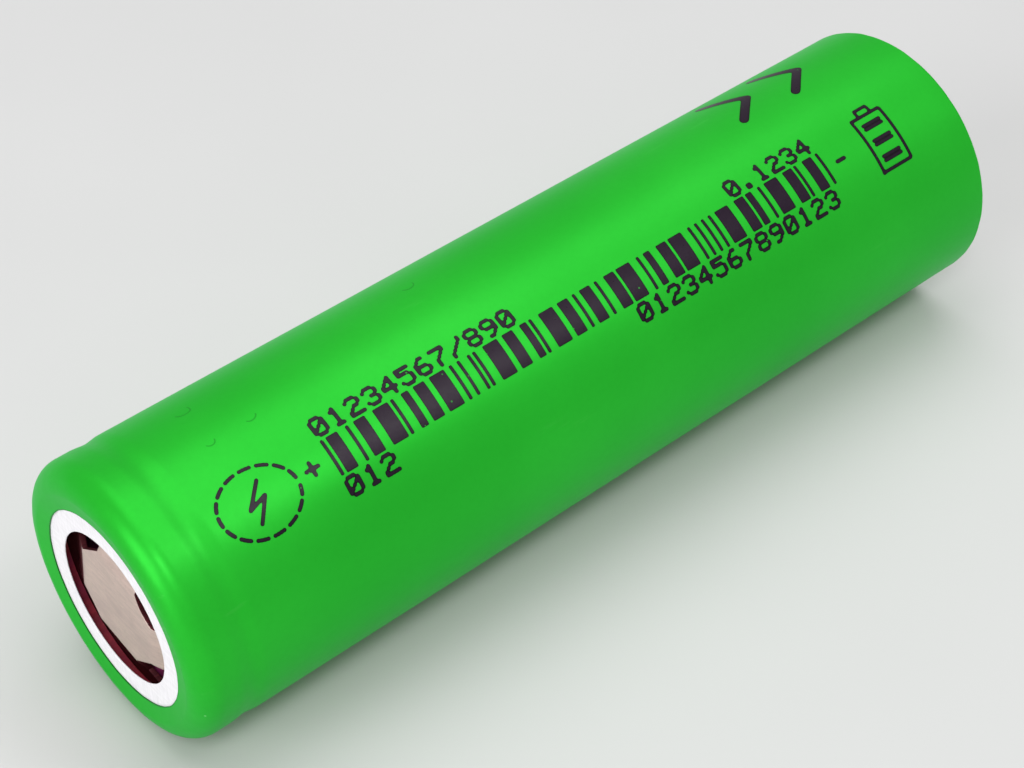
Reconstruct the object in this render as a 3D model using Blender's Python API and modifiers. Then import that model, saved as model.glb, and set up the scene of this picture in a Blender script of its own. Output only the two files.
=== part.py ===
"""A cylindrical lithium-ion cell, 18.35 mm across and 65 mm long, lying on its side along X.

Every piece is modelled in the cell's own frame, with Z along the axis and 0 at the negative end.
One empty, cell_axis, then lays the whole cell down so that the positive terminal faces +X.
Turned pieces share one number of sides and have a flat underneath, so they nest with small gaps.
"""

import math
from functools import partial

import bmesh
import bpy
from mathutils import Matrix, Vector

MM = 0.001

# The whole cell
CELL_LENGTH = 65.0 * MM
CELL_RADIUS = 9.175 * MM
SIDES = 40
FIT_GAP = 0.02 * MM
MERGE = 0.001 * MM

# Heat-shrink sleeve
SLEEVE_WALL = 0.10 * MM
SLEEVE_GAP = 0.025 * MM
SLEEVE_TOP_CORNER = 1.25 * MM
SLEEVE_BOTTOM_CORNER = 0.60 * MM
SLEEVE_TOP_OPENING = 6.47 * MM
SLEEVE_BOTTOM_OPENING = 7.0 * MM
SLEEVE_LIP_DROP = 0.13 * MM
SLEEVE_DIP = 0.10 * MM

# Steel can
CAN_WALL = 0.25 * MM
CAN_RADIUS = CELL_RADIUS - SLEEVE_WALL - SLEEVE_GAP
CAN_BOTTOM_CORNER = 0.50 * MM
CAN_LAND_RADIUS = 6.75 * MM
CAN_LAND_HEIGHT = 0.04 * MM
CAN_RIM_HEIGHT = SLEEVE_WALL + FIT_GAP
GROOVE_HEIGHT = 61.75 * MM
GROOVE_HALF_WIDTH = 1.0 * MM
GROOVE_DEPTH = 0.75 * MM
GROOVE_POINTS = 7
CRIMP_RADIUS = 1.10 * MM
CRIMP_TOP = 64.45 * MM
CRIMP_OPENING = 6.90 * MM

# White insulating washer under the sleeve's lip
WASHER_THICKNESS = 0.25 * MM
WASHER_HOLE = 5.01 * MM
WASHER_RADIUS = 8.0 * MM
WASHER_GAP = 0.03 * MM

# Positive cap
CAP_SHEET = 0.32 * MM
CAP_TOP = 64.56 * MM
CAP_FLANGE_TOP = 63.68 * MM
CAP_FLANGE_RADIUS = 8.20 * MM
CAP_TOP_HALF_WIDTH = 3.40 * MM
CAP_FOOT_HALF_WIDTH = 5.20 * MM
CAP_LEG_HALF_WIDTH = 1.85 * MM
CAP_WINDOW_CORNER = 3.40 * MM
CAP_RAISED_RADIUS = 6.05 * MM
CAP_TURN = math.radians(-9.5)

# Gas vent and current interrupter under the cap
VENT_SHEET = 0.30 * MM
VENT_TOP = CAP_FLANGE_TOP - CAP_SHEET - FIT_GAP
VENT_DISH_RADIUS = 4.20 * MM
VENT_WELD_RADIUS = 1.40 * MM
VENT_SCORE_RADIUS = 4.70 * MM
VENT_SCORE_HALF_WIDTH = 0.15 * MM
VENT_SCORE_DEPTH = 0.12 * MM
CID_DISC_TOP = 62.50 * MM
CID_DISC_THICKNESS = 0.42 * MM
CID_DISC_RADIUS = 6.30 * MM
CID_HOLE_COUNT = 6
CID_HOLE_RADIUS = 0.70 * MM
CID_HOLE_CIRCLE = 3.60 * MM
CID_WELD_POCKET = 1.20 * MM
CID_WELD_WEB = 0.17 * MM
SPACER_RADIUS = 6.95 * MM
SPACER_OPENING = 4.75 * MM
SPACER_LIP_OPENING = 5.95 * MM
SPACER_LIP_THICKNESS = 0.20 * MM

# Sealing gasket between the can and the cap
GASKET_BOTTOM = 62.25 * MM
GASKET_SEAT_RADIUS = 8.15 * MM
GASKET_SHOULDER_RISE = 0.15 * MM
GASKET_OPENING_BOTTOM = 7.10 * MM
GASKET_OPENING_TOP = 6.65 * MM
GASKET_BORE = CAP_FLANGE_RADIUS + 0.05 * MM

# Insulating discs above and below the winding
INSULATOR_THICKNESS = 0.30 * MM
TOP_INSULATOR_BOTTOM = 60.05 * MM
BOTTOM_INSULATOR_BOTTOM = 0.80 * MM
INSULATOR_RADIUS = 8.55 * MM
TOP_INSULATOR_HOLE = 1.50 * MM
BOTTOM_INSULATOR_HOLE = 2.10 * MM
TAB_SLOT_MARGIN = 0.30 * MM

# Winding: a spiral of separator, anode, separator and cathode
ROLL_SIDES = 20
ROLL_TURNS = 9
ROLL_CORE_RADIUS = 1.85 * MM
SEPARATOR_SHEET = 0.04 * MM
ANODE_SHEET = 0.24 * MM
CATHODE_SHEET = 0.22 * MM
SEPARATOR_EXTRA_STEPS = 22
SEPARATOR_SPAN = (1.9 * MM, 59.95 * MM)
ANODE_SPAN = (2.6 * MM, 59.3 * MM)
CATHODE_SPAN = (3.4 * MM, 58.5 * MM)
TAPE_SHEET = 0.05 * MM
WINDING_TAPE_RADIUS = 8.52 * MM
WINDING_TAPE_SPAN = (6.0 * MM, 56.0 * MM)
WINDING_TAPE_STEPS = 18

# Current tabs
TAB_SHEET = 0.15 * MM
TAB_BEND = 0.40 * MM
CATHODE_TAB_STEP = 126
CATHODE_TAB_BOTTOM = 36.0 * MM
CATHODE_TAB_LOW_RUN = 61.10 * MM
CATHODE_TAB_HIGH_RUN = 61.96 * MM
CATHODE_TAB_FOLD_REACH = -3.0 * MM
CATHODE_TAB_END = 2.0 * MM
CATHODE_TAB_SHARE = 0.85
CATHODE_WINDOW_MARGIN = 0.6 * MM
TAB_TAPE_REACH = (-2.2 * MM, 4.2 * MM)
TAB_TAPE_GAP = 0.03 * MM
INNER_TAB_RADIUS = 1.35 * MM
INNER_TAB_WIDTH = 2.0 * MM
INNER_TAB_TOP = 30.0 * MM
INNER_TAB_RUN = 0.68 * MM
OUTER_TAB_TOP = 30.0 * MM
OUTER_TAB_RUN = 0.495 * MM
OUTER_TAB_MARGIN_STEPS = 2
ANODE_TABS_REACH = -2.5 * MM
CORE_TAPE_WIDTH = 1.8 * MM
CORE_TAPE_SPAN = (4.0 * MM, 28.0 * MM)

SEPARATOR_INNER_OFFSET = SEPARATOR_SHEET / 2
ANODE_OFFSET = SEPARATOR_SHEET + FIT_GAP + ANODE_SHEET / 2
SEPARATOR_OUTER_OFFSET = ANODE_OFFSET + ANODE_SHEET / 2 + FIT_GAP + SEPARATOR_SHEET / 2
CATHODE_OFFSET = SEPARATOR_OUTER_OFFSET + SEPARATOR_SHEET / 2 + FIT_GAP + CATHODE_SHEET / 2
ROLL_PITCH = CATHODE_OFFSET + CATHODE_SHEET / 2 + FIT_GAP
ROLL_STEPS = ROLL_SIDES * ROLL_TURNS

# Colour, roughness and metallic value of each finish
FINISHES = {
    "green_sleeve": ((0.03, 0.55, 0.04), 0.35, 0.0),
    "white_fibre": ((0.88, 0.87, 0.90), 0.80, 0.0),
    "nickel_steel": ((0.66, 0.60, 0.57), 0.30, 1.0),
    "aluminium": ((0.80, 0.81, 0.83), 0.35, 1.0),
    "natural_polypropylene": ((0.82, 0.82, 0.78), 0.50, 0.0),
    "anode_black": ((0.05, 0.05, 0.055), 0.75, 0.0),
    "cathode_black": ((0.09, 0.08, 0.08), 0.70, 0.0),
    "separator_film": ((0.90, 0.90, 0.88), 0.45, 0.0),
    "amber_tape": ((0.62, 0.30, 0.05), 0.35, 0.0),
    "insulator_board": ((0.70, 0.72, 0.66), 0.70, 0.0),
}


def clear_scene():
    for obj in list(bpy.data.objects):
        bpy.data.objects.remove(obj)


def new_collection(name):
    collection = bpy.data.collections.new(name)
    bpy.context.scene.collection.children.link(collection)
    return collection


def new_material(name, colour, roughness, metallic):
    material = bpy.data.materials.new(name)
    material.use_nodes = True
    shader = material.node_tree.nodes["Principled BSDF"]
    shader.inputs["Base Color"].default_value = (*colour, 1.0)
    shader.inputs["Roughness"].default_value = roughness
    shader.inputs["Metallic"].default_value = metallic
    return material


def arc(centre, radius, start, end, count):
    """Points (radius, height) on an arc, from start to end in degrees, 0 pointing outwards and 90 up."""
    turns = [math.radians(start + (end - start) * i / (count - 1)) for i in range(count)]
    return [(centre[0] + radius * math.cos(t), centre[1] + radius * math.sin(t)) for t in turns]


class Cell:
    """The collections and the axis that the pieces share."""

    def __init__(self):
        self.parts = new_collection("cylindrical_cell")
        self.cutters = new_collection("cutters")
        self.axis = bpy.data.objects.new("cell_axis", None)
        self.parts.objects.link(self.axis)
        self.axis.location = (-CELL_LENGTH / 2, 0, CELL_RADIUS)
        self.axis.rotation_euler = (0, math.radians(90), 0)

    def add(self, name, mesh, finish=None):
        """A piece of the cell or, with no finish, a cutter."""
        obj = bpy.data.objects.new(name, mesh)
        obj.parent = self.axis
        if finish is None:
            self.cutters.objects.link(obj)
            obj.hide_render = True
            obj.display_type = "WIRE"
        else:
            self.parts.objects.link(obj)
            mesh.materials.append(new_material(name, *FINISHES[finish]))
        return obj


def profile_mesh(name, points, closed):
    """Edges through points (radius, height), half a side round from +X so that a flat lies underneath.

    Radii are those of the flats, so the corners stand a little further out.
    """
    half_side = math.pi / SIDES
    corner = 1 / math.cos(half_side)
    vertices = [
        (r * corner * math.cos(half_side), r * corner * math.sin(half_side), h) for r, h in points
    ]
    edges = [(i, i + 1) for i in range(len(points) - 1)]
    if closed:
        edges.append((len(points) - 1, 0))
    mesh = bpy.data.meshes.new(name)
    mesh.from_pydata(vertices, edges, [])
    return mesh


def turn(obj):
    """Turns a profile once about the cell's axis."""
    screw = obj.modifiers.new("turn", "SCREW")
    screw.axis = "Z"
    screw.steps = SIDES
    screw.render_steps = SIDES
    screw.use_merge_vertices = True
    screw.merge_threshold = MERGE
    screw.use_smooth_shade = True
    return obj


def turned_solid(cell, name, outline, finish=None):
    """A closed outline, listed so that its outer side runs from top to bottom, turned about the axis."""
    return turn(cell.add(name, profile_mesh(name, outline, closed=True), finish))


def thicken(obj, thickness, offset):
    wall = obj.modifiers.new("wall", "SOLIDIFY")
    wall.thickness = thickness
    wall.offset = offset
    wall.use_even_offset = True
    return obj


def turned_sheet(cell, name, path, wall, finish):
    """An open path along the sheet's outer face, from top to bottom, turned and thickened inwards."""
    shell = turn(cell.add(name, profile_mesh(name, path, closed=False), finish))
    return thicken(shell, wall, -1.0)


def disc(cell, name, radius, bottom, thickness, finish):
    """A solid round plate."""
    top = bottom + thickness
    return turned_solid(cell, name, [(0, top), (radius, top), (radius, bottom), (0, bottom)], finish)


def ring(cell, name, radius, hole, bottom, thickness, finish):
    """A round plate with a round hole."""
    top = bottom + thickness
    outline = [(hole, top), (radius, top), (radius, bottom), (hole, bottom)]
    return turned_solid(cell, name, outline, finish)


def join(obj, other, operation):
    boolean = obj.modifiers.new(operation.lower(), "BOOLEAN")
    boolean.operation = operation
    boolean.object = other
    boolean.solver = "EXACT"


def box_cutter(cell, name, reach, half_width, heights, angle):
    """A box whose long side points along angle, from reach[0] to reach[1] away from the axis."""
    mesh = bpy.data.meshes.new(name)
    shape = bmesh.new()
    bmesh.ops.create_cube(shape, size=1.0)
    size = (reach[1] - reach[0], 2 * half_width, heights[1] - heights[0])
    middle = ((reach[0] + reach[1]) / 2, 0, (heights[0] + heights[1]) / 2)
    shape.transform(Matrix.Translation(middle) @ Matrix.Diagonal((*size, 1.0)))
    shape.transform(Matrix.Rotation(angle, 4, "Z"))
    shape.to_mesh(mesh)
    shape.free()
    return cell.add(name, mesh)


def round_cutter(cell, name, radius, centre, heights, sides=12):
    mesh = bpy.data.meshes.new(name)
    shape = bmesh.new()
    depth = heights[1] - heights[0]
    bmesh.ops.create_cone(
        shape, cap_ends=True, segments=sides, radius1=radius, radius2=radius, depth=depth
    )
    shape.transform(Matrix.Translation((*centre, (heights[0] + heights[1]) / 2)))
    shape.to_mesh(mesh)
    shape.free()
    return cell.add(name, mesh)


def frustum_cutter(cell, name, foot_half_width, top_half_width, heights):
    """A square frustum whose four sides face the cap's legs, with its corners rounded off."""
    mesh = bpy.data.meshes.new(name)
    shape = bmesh.new()
    bmesh.ops.create_cone(
        shape,
        cap_ends=True,
        segments=4,
        radius1=foot_half_width * math.sqrt(2),
        radius2=top_half_width * math.sqrt(2),
        depth=heights[1] - heights[0],
    )
    shape.transform(Matrix.Translation((0, 0, (heights[0] + heights[1]) / 2)))
    shape.transform(Matrix.Rotation(CAP_TURN + math.radians(45), 4, "Z"))
    shape.to_mesh(mesh)
    shape.free()
    frustum = cell.add(name, mesh)
    limit_span = (heights[0] - CAP_SHEET, heights[1] + CAP_SHEET)
    limit = round_cutter(cell, name + "_limit", CAP_RAISED_RADIUS, (0, 0), limit_span, SIDES)
    join(frustum, limit, "INTERSECT")
    return frustum


def prism_cutter(cell, name, outline, heights, angle):
    """A flat outline, extruded between two heights and turned about the axis."""
    curve = bpy.data.curves.new(name, "CURVE")
    curve.dimensions = "2D"
    curve.fill_mode = "BOTH"
    curve.extrude = (heights[1] - heights[0]) / 2
    spline = curve.splines.new("POLY")
    spline.points.add(len(outline) - 1)
    for point, (x, y) in zip(spline.points, outline):
        point.co = (x, y, 0, 1)
    spline.use_cyclic_u = True
    drawn = bpy.data.objects.new(name + "_outline", curve)
    cell.cutters.objects.link(drawn)
    bpy.context.view_layer.update()
    evaluated = drawn.evaluated_get(bpy.context.evaluated_depsgraph_get())
    mesh = bpy.data.meshes.new_from_object(evaluated)
    bpy.data.objects.remove(drawn)
    shape = bmesh.new()
    shape.from_mesh(mesh)
    bmesh.ops.remove_doubles(shape, verts=shape.verts, dist=MERGE)
    bmesh.ops.recalc_face_normals(shape, faces=shape.faces)
    shape.transform(Matrix.Translation((0, 0, (heights[0] + heights[1]) / 2)))
    shape.transform(Matrix.Rotation(angle, 4, "Z"))
    shape.to_mesh(mesh)
    shape.free()
    return cell.add(name, mesh)


def shrink_sleeve(cell):
    """Green sleeve over the whole can, shrunk over both ends, with a slight dip over the can's groove."""
    top, bottom = SLEEVE_TOP_CORNER, SLEEVE_BOTTOM_CORNER
    path = [(SLEEVE_TOP_OPENING, CELL_LENGTH - SLEEVE_LIP_DROP)]
    path += arc((CELL_RADIUS - top, CELL_LENGTH - top), top, 90, 0, 5)
    path += [
        (CELL_RADIUS, GROOVE_HEIGHT + GROOVE_HALF_WIDTH),
        (CELL_RADIUS - SLEEVE_DIP, GROOVE_HEIGHT),
        (CELL_RADIUS, GROOVE_HEIGHT - GROOVE_HALF_WIDTH),
    ]
    path += arc((CELL_RADIUS - bottom, bottom), bottom, 0, -90, 4)
    path += [(SLEEVE_BOTTOM_OPENING, 0)]
    turned_sheet(cell, "shrink_sleeve", path, SLEEVE_WALL, "green_sleeve")


def steel_can(cell):
    """Drawn steel can, the negative terminal: flat bottom, rolled groove and crimped mouth."""
    path = [(CRIMP_OPENING, CRIMP_TOP)]
    path += arc((CAN_RADIUS - CRIMP_RADIUS, CRIMP_TOP - CRIMP_RADIUS), CRIMP_RADIUS, 90, 0, 5)
    for i in range(GROOVE_POINTS):
        t = 1 - 2 * i / (GROOVE_POINTS - 1)
        depth = GROOVE_DEPTH * (1 + math.cos(math.pi * t)) / 2
        path.append((CAN_RADIUS - depth, GROOVE_HEIGHT + GROOVE_HALF_WIDTH * t))
    corner = CAN_BOTTOM_CORNER
    path += arc((CAN_RADIUS - corner, CAN_RIM_HEIGHT + corner), corner, 0, -90, 4)
    path += [
        (CAN_LAND_RADIUS + CAN_RIM_HEIGHT - CAN_LAND_HEIGHT, CAN_RIM_HEIGHT),
        (CAN_LAND_RADIUS, CAN_LAND_HEIGHT),
        (0, CAN_LAND_HEIGHT),
    ]
    turned_sheet(cell, "steel_can", path, CAN_WALL, "nickel_steel")


def positive_washer(cell):
    """White insulating washer on the crimped mouth, held by the sleeve's lip."""
    ring(
        cell,
        "positive_washer",
        WASHER_RADIUS,
        WASHER_HOLE,
        CRIMP_TOP + WASHER_GAP,
        WASHER_THICKNESS,
        "white_fibre",
    )


def cap_form(cell, name, top, foot, top_half_width, slope):
    """The raised middle of the cap, outside or inside, between two heights."""
    foot_half_width = top_half_width + slope * (top - foot)
    return frustum_cutter(cell, name, foot_half_width, top_half_width, (foot, top))


def positive_cap(cell):
    """Pressed steel cap: a square raised contact on four legs, with a vent window at each corner."""
    flange_bottom = CAP_FLANGE_TOP - CAP_SHEET
    cap = disc(cell, "positive_cap", CAP_FLANGE_RADIUS, flange_bottom, CAP_SHEET, "nickel_steel")
    slope = (CAP_FOOT_HALF_WIDTH - CAP_TOP_HALF_WIDTH) / (CAP_TOP - CAP_FLANGE_TOP)
    foot = CAP_FLANGE_TOP - CAP_SHEET / 2
    outside = cap_form(cell, "cap_outside", CAP_TOP, foot, CAP_TOP_HALF_WIDTH, slope)
    join(cap, outside, "UNION")
    below, above = flange_bottom - CAP_SHEET, CAP_TOP + CAP_SHEET
    inside_half_width = CAP_TOP_HALF_WIDTH + CAP_SHEET * (slope - math.hypot(1, slope))
    inside = cap_form(cell, "cap_inside", CAP_TOP - CAP_SHEET, below, inside_half_width, slope)
    join(cap, inside, "DIFFERENCE")
    near, far, side = CAP_TOP_HALF_WIDTH, CAP_FOOT_HALF_WIDTH, CAP_LEG_HALF_WIDTH
    corner = CAP_WINDOW_CORNER
    window = [(near, side), (far, side), (far, corner), (corner, far), (side, far), (side, near)]
    for quarter in range(4):
        angle = CAP_TURN + quarter * math.pi / 2
        cutter = prism_cutter(cell, f"vent_window_{quarter}", window, (below, above), angle)
        join(cap, cutter, "DIFFERENCE")


def vent_disc(cell):
    """Aluminium burst disc, dished down to its weld on the interrupter disc and scored in a ring."""
    dish_drop = VENT_TOP - VENT_SHEET - CID_DISC_TOP - FIT_GAP
    score_inner = VENT_SCORE_RADIUS - VENT_SCORE_HALF_WIDTH
    score_outer = VENT_SCORE_RADIUS + VENT_SCORE_HALF_WIDTH
    bottom = VENT_TOP - VENT_SHEET
    outline = [
        (0, VENT_TOP - dish_drop),
        (VENT_WELD_RADIUS, VENT_TOP - dish_drop),
        (VENT_DISH_RADIUS, VENT_TOP),
        (score_inner, VENT_TOP),
        (VENT_SCORE_RADIUS, VENT_TOP - VENT_SCORE_DEPTH),
        (score_outer, VENT_TOP),
        (CAP_FLANGE_RADIUS, VENT_TOP),
        (CAP_FLANGE_RADIUS, bottom),
        (VENT_DISH_RADIUS, bottom),
        (VENT_WELD_RADIUS, bottom - dish_drop),
        (0, bottom - dish_drop),
    ]
    turned_solid(cell, "vent_disc", outline, "aluminium")


def cid_disc(cell):
    """Perforated aluminium disc of the current interrupter, with a thin welded middle."""
    bottom = CID_DISC_TOP - CID_DISC_THICKNESS
    plate = disc(cell, "cid_disc", CID_DISC_RADIUS, bottom, CID_DISC_THICKNESS, "aluminium")
    below, above = bottom - CID_DISC_THICKNESS, CID_DISC_TOP + CID_DISC_THICKNESS
    pocket = round_cutter(
        cell, "cid_weld_pocket", CID_WELD_POCKET, (0, 0), (below, CID_DISC_TOP - CID_WELD_WEB)
    )
    join(plate, pocket, "DIFFERENCE")
    for i in range(CID_HOLE_COUNT):
        angle = 2 * math.pi * i / CID_HOLE_COUNT
        centre = (CID_HOLE_CIRCLE * math.cos(angle), CID_HOLE_CIRCLE * math.sin(angle))
        hole = round_cutter(cell, f"cid_hole_{i}", CID_HOLE_RADIUS, centre, (below, above))
        join(plate, hole, "DIFFERENCE")


def cid_spacer(cell):
    """Plastic ring that holds the interrupter disc's rim and keeps it off the vent disc."""
    top = VENT_TOP - VENT_SHEET - FIT_GAP
    shelf = CID_DISC_TOP + FIT_GAP
    lip_top = CID_DISC_TOP - CID_DISC_THICKNESS - FIT_GAP
    pocket = CID_DISC_RADIUS + 2 * FIT_GAP
    outline = [
        (SPACER_OPENING, top),
        (SPACER_RADIUS, top),
        (SPACER_RADIUS, lip_top - SPACER_LIP_THICKNESS),
        (SPACER_LIP_OPENING, lip_top - SPACER_LIP_THICKNESS),
        (SPACER_LIP_OPENING, lip_top),
        (pocket, lip_top),
        (pocket, shelf),
        (SPACER_OPENING, shelf),
    ]
    turned_solid(cell, "cid_spacer", outline, "natural_polypropylene")


def sealing_gasket(cell):
    """Plastic seal round the cap and vent disc, squeezed between the groove and the crimped mouth."""
    flap_top = CRIMP_TOP - CAN_WALL - 1.5 * FIT_GAP
    bend_centre = (CAN_RADIUS - CRIMP_RADIUS, CRIMP_TOP - CRIMP_RADIUS)
    bend_radius = flap_top - bend_centre[1]
    shoulder = bend_centre[0] + bend_radius
    groove_top = GROOVE_HEIGHT + GROOVE_HALF_WIDTH
    outline = [(GASKET_OPENING_TOP, flap_top)]
    outline += arc(bend_centre, bend_radius, 90, 0, 4)
    outline += [
        (shoulder, groove_top + GASKET_SHOULDER_RISE),
        (GASKET_SEAT_RADIUS, GASKET_BOTTOM),
        (GASKET_OPENING_BOTTOM, GASKET_BOTTOM),
        (GASKET_OPENING_BOTTOM, VENT_TOP - VENT_SHEET - FIT_GAP),
        (GASKET_BORE, VENT_TOP - VENT_SHEET - FIT_GAP),
        (GASKET_BORE, CAP_FLANGE_TOP + FIT_GAP),
        (GASKET_OPENING_TOP, CAP_FLANGE_TOP + FIT_GAP),
    ]
    turned_solid(cell, "sealing_gasket", outline, "natural_polypropylene")


def extrude(shape, edges):
    """Extrudes a chain of edges in place, and returns its new vertices and edges."""
    made = bmesh.ops.extrude_edge_only(shape, edges=edges)["geom"]
    raised = [item for item in made if isinstance(item, bmesh.types.BMVert)]
    chain = [item for item in made if isinstance(item, bmesh.types.BMEdge)]
    return raised, [edge for edge in chain if all(vert in raised for vert in edge.verts)]


def sheet_object(cell, name, shape, thickness, finish):
    """A thin sheet, as a node, from the surface in its middle."""
    bmesh.ops.recalc_face_normals(shape, faces=shape.faces)
    mesh = bpy.data.meshes.new(name)
    shape.to_mesh(mesh)
    shape.free()
    mesh.shade_smooth()
    return thicken(cell.add(name, mesh, finish), thickness, 0.0)


def roll_angle(step):
    return 2 * math.pi * step / ROLL_SIDES


def roll_radius(step, offset):
    """Radius of a layer of the spiral at a step, offset outwards from the winding's base spiral."""
    return ROLL_CORE_RADIUS + offset + ROLL_PITCH * step / ROLL_SIDES


def wound_sheet(cell, name, last_step, radius_at, span, thickness, finish, window=None):
    """A sheet wound about the axis: a chain of edges extruded along the axis, then thickened.

    window is (first step, last step, height): the sheet is cut away there, above that height.
    """
    heights = [span[0], span[1]] if window is None else [span[0], window[2], span[1]]
    shape = bmesh.new()
    row = []
    for step in range(last_step + 1):
        radius, angle = radius_at(step), roll_angle(step)
        row.append(shape.verts.new((radius * math.cos(angle), radius * math.sin(angle), heights[0])))
    edges = [shape.edges.new(pair) for pair in zip(row, row[1:])]
    for low, high in zip(heights, heights[1:]):
        raised, edges = extrude(shape, edges)
        bmesh.ops.translate(shape, verts=raised, vec=(0, 0, high - low))
    if window is not None:
        bmesh.ops.delete(shape, geom=faces_in_window(shape, radius_at, window), context="FACES")
    return sheet_object(cell, name, shape, thickness, finish)


def faces_in_window(shape, radius_at, window):
    """The faces of a wound sheet between two steps of one turn, above a height."""
    first, last, height = window
    found = []
    for face in shape.faces:
        centre = face.calc_center_median()
        if centre.z < height:
            continue
        for step in range(first, last):
            middle = (roll_angle(step) + roll_angle(step + 1)) / 2
            radius = (radius_at(step) + radius_at(step + 1)) / 2 * math.cos(math.pi / ROLL_SIDES)
            off = math.hypot(centre.x - radius * math.cos(middle), centre.y - radius * math.sin(middle))
            if off < ROLL_PITCH / 4:
                found.append(face)
    return found


def winding(cell):
    """The electrodes and separators, and the tape that closes the roll."""
    window = (CATHODE_TAB_STEP - 1, CATHODE_TAB_STEP + 1, CATHODE_TAB_BOTTOM - CATHODE_WINDOW_MARGIN)
    layers = [
        ("separator_inner", SEPARATOR_INNER_OFFSET, SEPARATOR_SPAN, SEPARATOR_SHEET, "separator_film", None),
        ("anode_sheet", ANODE_OFFSET, ANODE_SPAN, ANODE_SHEET, "anode_black", None),
        ("separator_outer", SEPARATOR_OUTER_OFFSET, SEPARATOR_SPAN, SEPARATOR_SHEET, "separator_film", None),
        ("cathode_sheet", CATHODE_OFFSET, CATHODE_SPAN, CATHODE_SHEET, "cathode_black", window),
    ]
    for name, offset, span, thickness, finish, cut in layers:
        extra = SEPARATOR_EXTRA_STEPS if name.startswith("separator") else 0
        radius_at = partial(roll_radius, offset=offset)
        wound_sheet(cell, name, ROLL_STEPS + extra, radius_at, span, thickness, finish, cut)
    wound_sheet(
        cell,
        "winding_tape",
        WINDING_TAPE_STEPS,
        lambda step: WINDING_TAPE_RADIUS,
        WINDING_TAPE_SPAN,
        TAPE_SHEET,
        "amber_tape",
    )


def folded_strip(cell, name, path, half_width, angle, thickness, finish, bows=None):
    """A strip of sheet metal or tape along a path of (distance from the axis, height).

    The path lies in the plane at angle about the axis. bows, one value for each path point, push the
    strip's middle outwards, so that it follows the curve of the winding.
    """
    outwards = Vector((math.cos(angle), math.sin(angle), 0))
    across = Vector((-math.sin(angle), math.cos(angle), 0))
    sides = (-half_width, 0, half_width) if bows else (-half_width, half_width)
    shape = bmesh.new()
    row = [shape.verts.new(across * side) for side in sides]
    edges = [shape.edges.new(pair) for pair in zip(row, row[1:])]
    for i, (distance, height) in enumerate(path):
        if i:
            row, edges = extrude(shape, edges)
        row.sort(key=lambda vert: vert.co.dot(across))
        for vert, side in zip(row, sides):
            push = bows[i] if bows and side == 0 else 0
            vert.co = outwards * (distance + push) + across * side + Vector((0, 0, height))
    return sheet_object(cell, name, shape, thickness, finish)


def cathode_tab_place():
    """(distance of the tab's edges from the axis, outward bow of its middle, half width, angle)."""
    middle = roll_radius(CATHODE_TAB_STEP, CATHODE_OFFSET)
    bow = CATHODE_TAB_SHARE * middle * (1 - math.cos(roll_angle(1)))
    half_width = CATHODE_TAB_SHARE * middle * math.sin(roll_angle(1))
    return middle - bow, bow, half_width, roll_angle(CATHODE_TAB_STEP)


def cathode_tab(cell):
    """Aluminium tab from the cathode, through the top insulator, folded once under the interrupter."""
    edge, bow, half_width, angle = cathode_tab_place()
    low, high = CATHODE_TAB_LOW_RUN, CATHODE_TAB_HIGH_RUN
    fold = (high - low) / 2
    path = [(edge, CATHODE_TAB_BOTTOM), (edge, SEPARATOR_SPAN[1])]
    path += arc((edge - TAB_BEND, low - TAB_BEND), TAB_BEND, 0, 90, 4)
    path += arc((CATHODE_TAB_FOLD_REACH, low + fold), fold, 270, 90, 6)
    path += [(CATHODE_TAB_END, high)]
    bows = [bow, bow, bow / 2] + [0.0] * (len(path) - 3)
    folded_strip(cell, "cathode_tab", path, half_width, angle, TAB_SHEET, "aluminium", bows)


def cathode_tab_tape(cell):
    """Insulating tape wrapped round the cathode tab's lower run."""
    half_width, angle = cathode_tab_place()[2:]
    half_height = TAB_SHEET / 2 + TAB_TAPE_GAP
    run = CATHODE_TAB_LOW_RUN
    tape = folded_strip(
        cell,
        "cathode_tab_tape",
        [(TAB_TAPE_REACH[0], run), (TAB_TAPE_REACH[1], run)],
        half_width + TAB_TAPE_GAP + TAPE_SHEET,
        angle,
        2 * (half_height + TAPE_SHEET),
        "amber_tape",
    )
    inside = box_cutter(
        cell,
        "tab_tape_inside",
        (TAB_TAPE_REACH[0] - MM, TAB_TAPE_REACH[1] + MM),
        half_width + TAB_TAPE_GAP,
        (run - half_height, run + half_height),
        angle,
    )
    join(tape, inside, "DIFFERENCE")


def anode_tab(cell, name, distance, angle, half_width, top, run):
    """A nickel tab that runs down beside the winding and folds in under the bottom insulator."""
    path = [(distance, top)]
    path += arc((distance - TAB_BEND, run + TAB_BEND), TAB_BEND, 0, -90, 4)
    path += [(ANODE_TABS_REACH, run)]
    folded_strip(cell, name, path, half_width, angle, TAB_SHEET, "nickel_steel")


def anode_tabs(cell):
    """The tabs of the anode's inner and outer ends, and the tape on the inner one."""
    half_width = INNER_TAB_WIDTH / 2
    anode_tab(
        cell, "anode_tab_inner", INNER_TAB_RADIUS, 0.0, half_width, INNER_TAB_TOP, INNER_TAB_RUN
    )
    tape_distance = INNER_TAB_RADIUS - TAB_SHEET / 2 - FIT_GAP - TAPE_SHEET / 2
    tape_path = [(tape_distance, height) for height in CORE_TAPE_SPAN]
    folded_strip(
        cell, "anode_tab_tape", tape_path, CORE_TAPE_WIDTH / 2, 0.0, TAPE_SHEET, "amber_tape"
    )
    distance, angle, half_width = outer_tab_place()
    anode_tab(cell, "anode_tab_outer", distance, angle, half_width, OUTER_TAB_TOP, OUTER_TAB_RUN)


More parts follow.
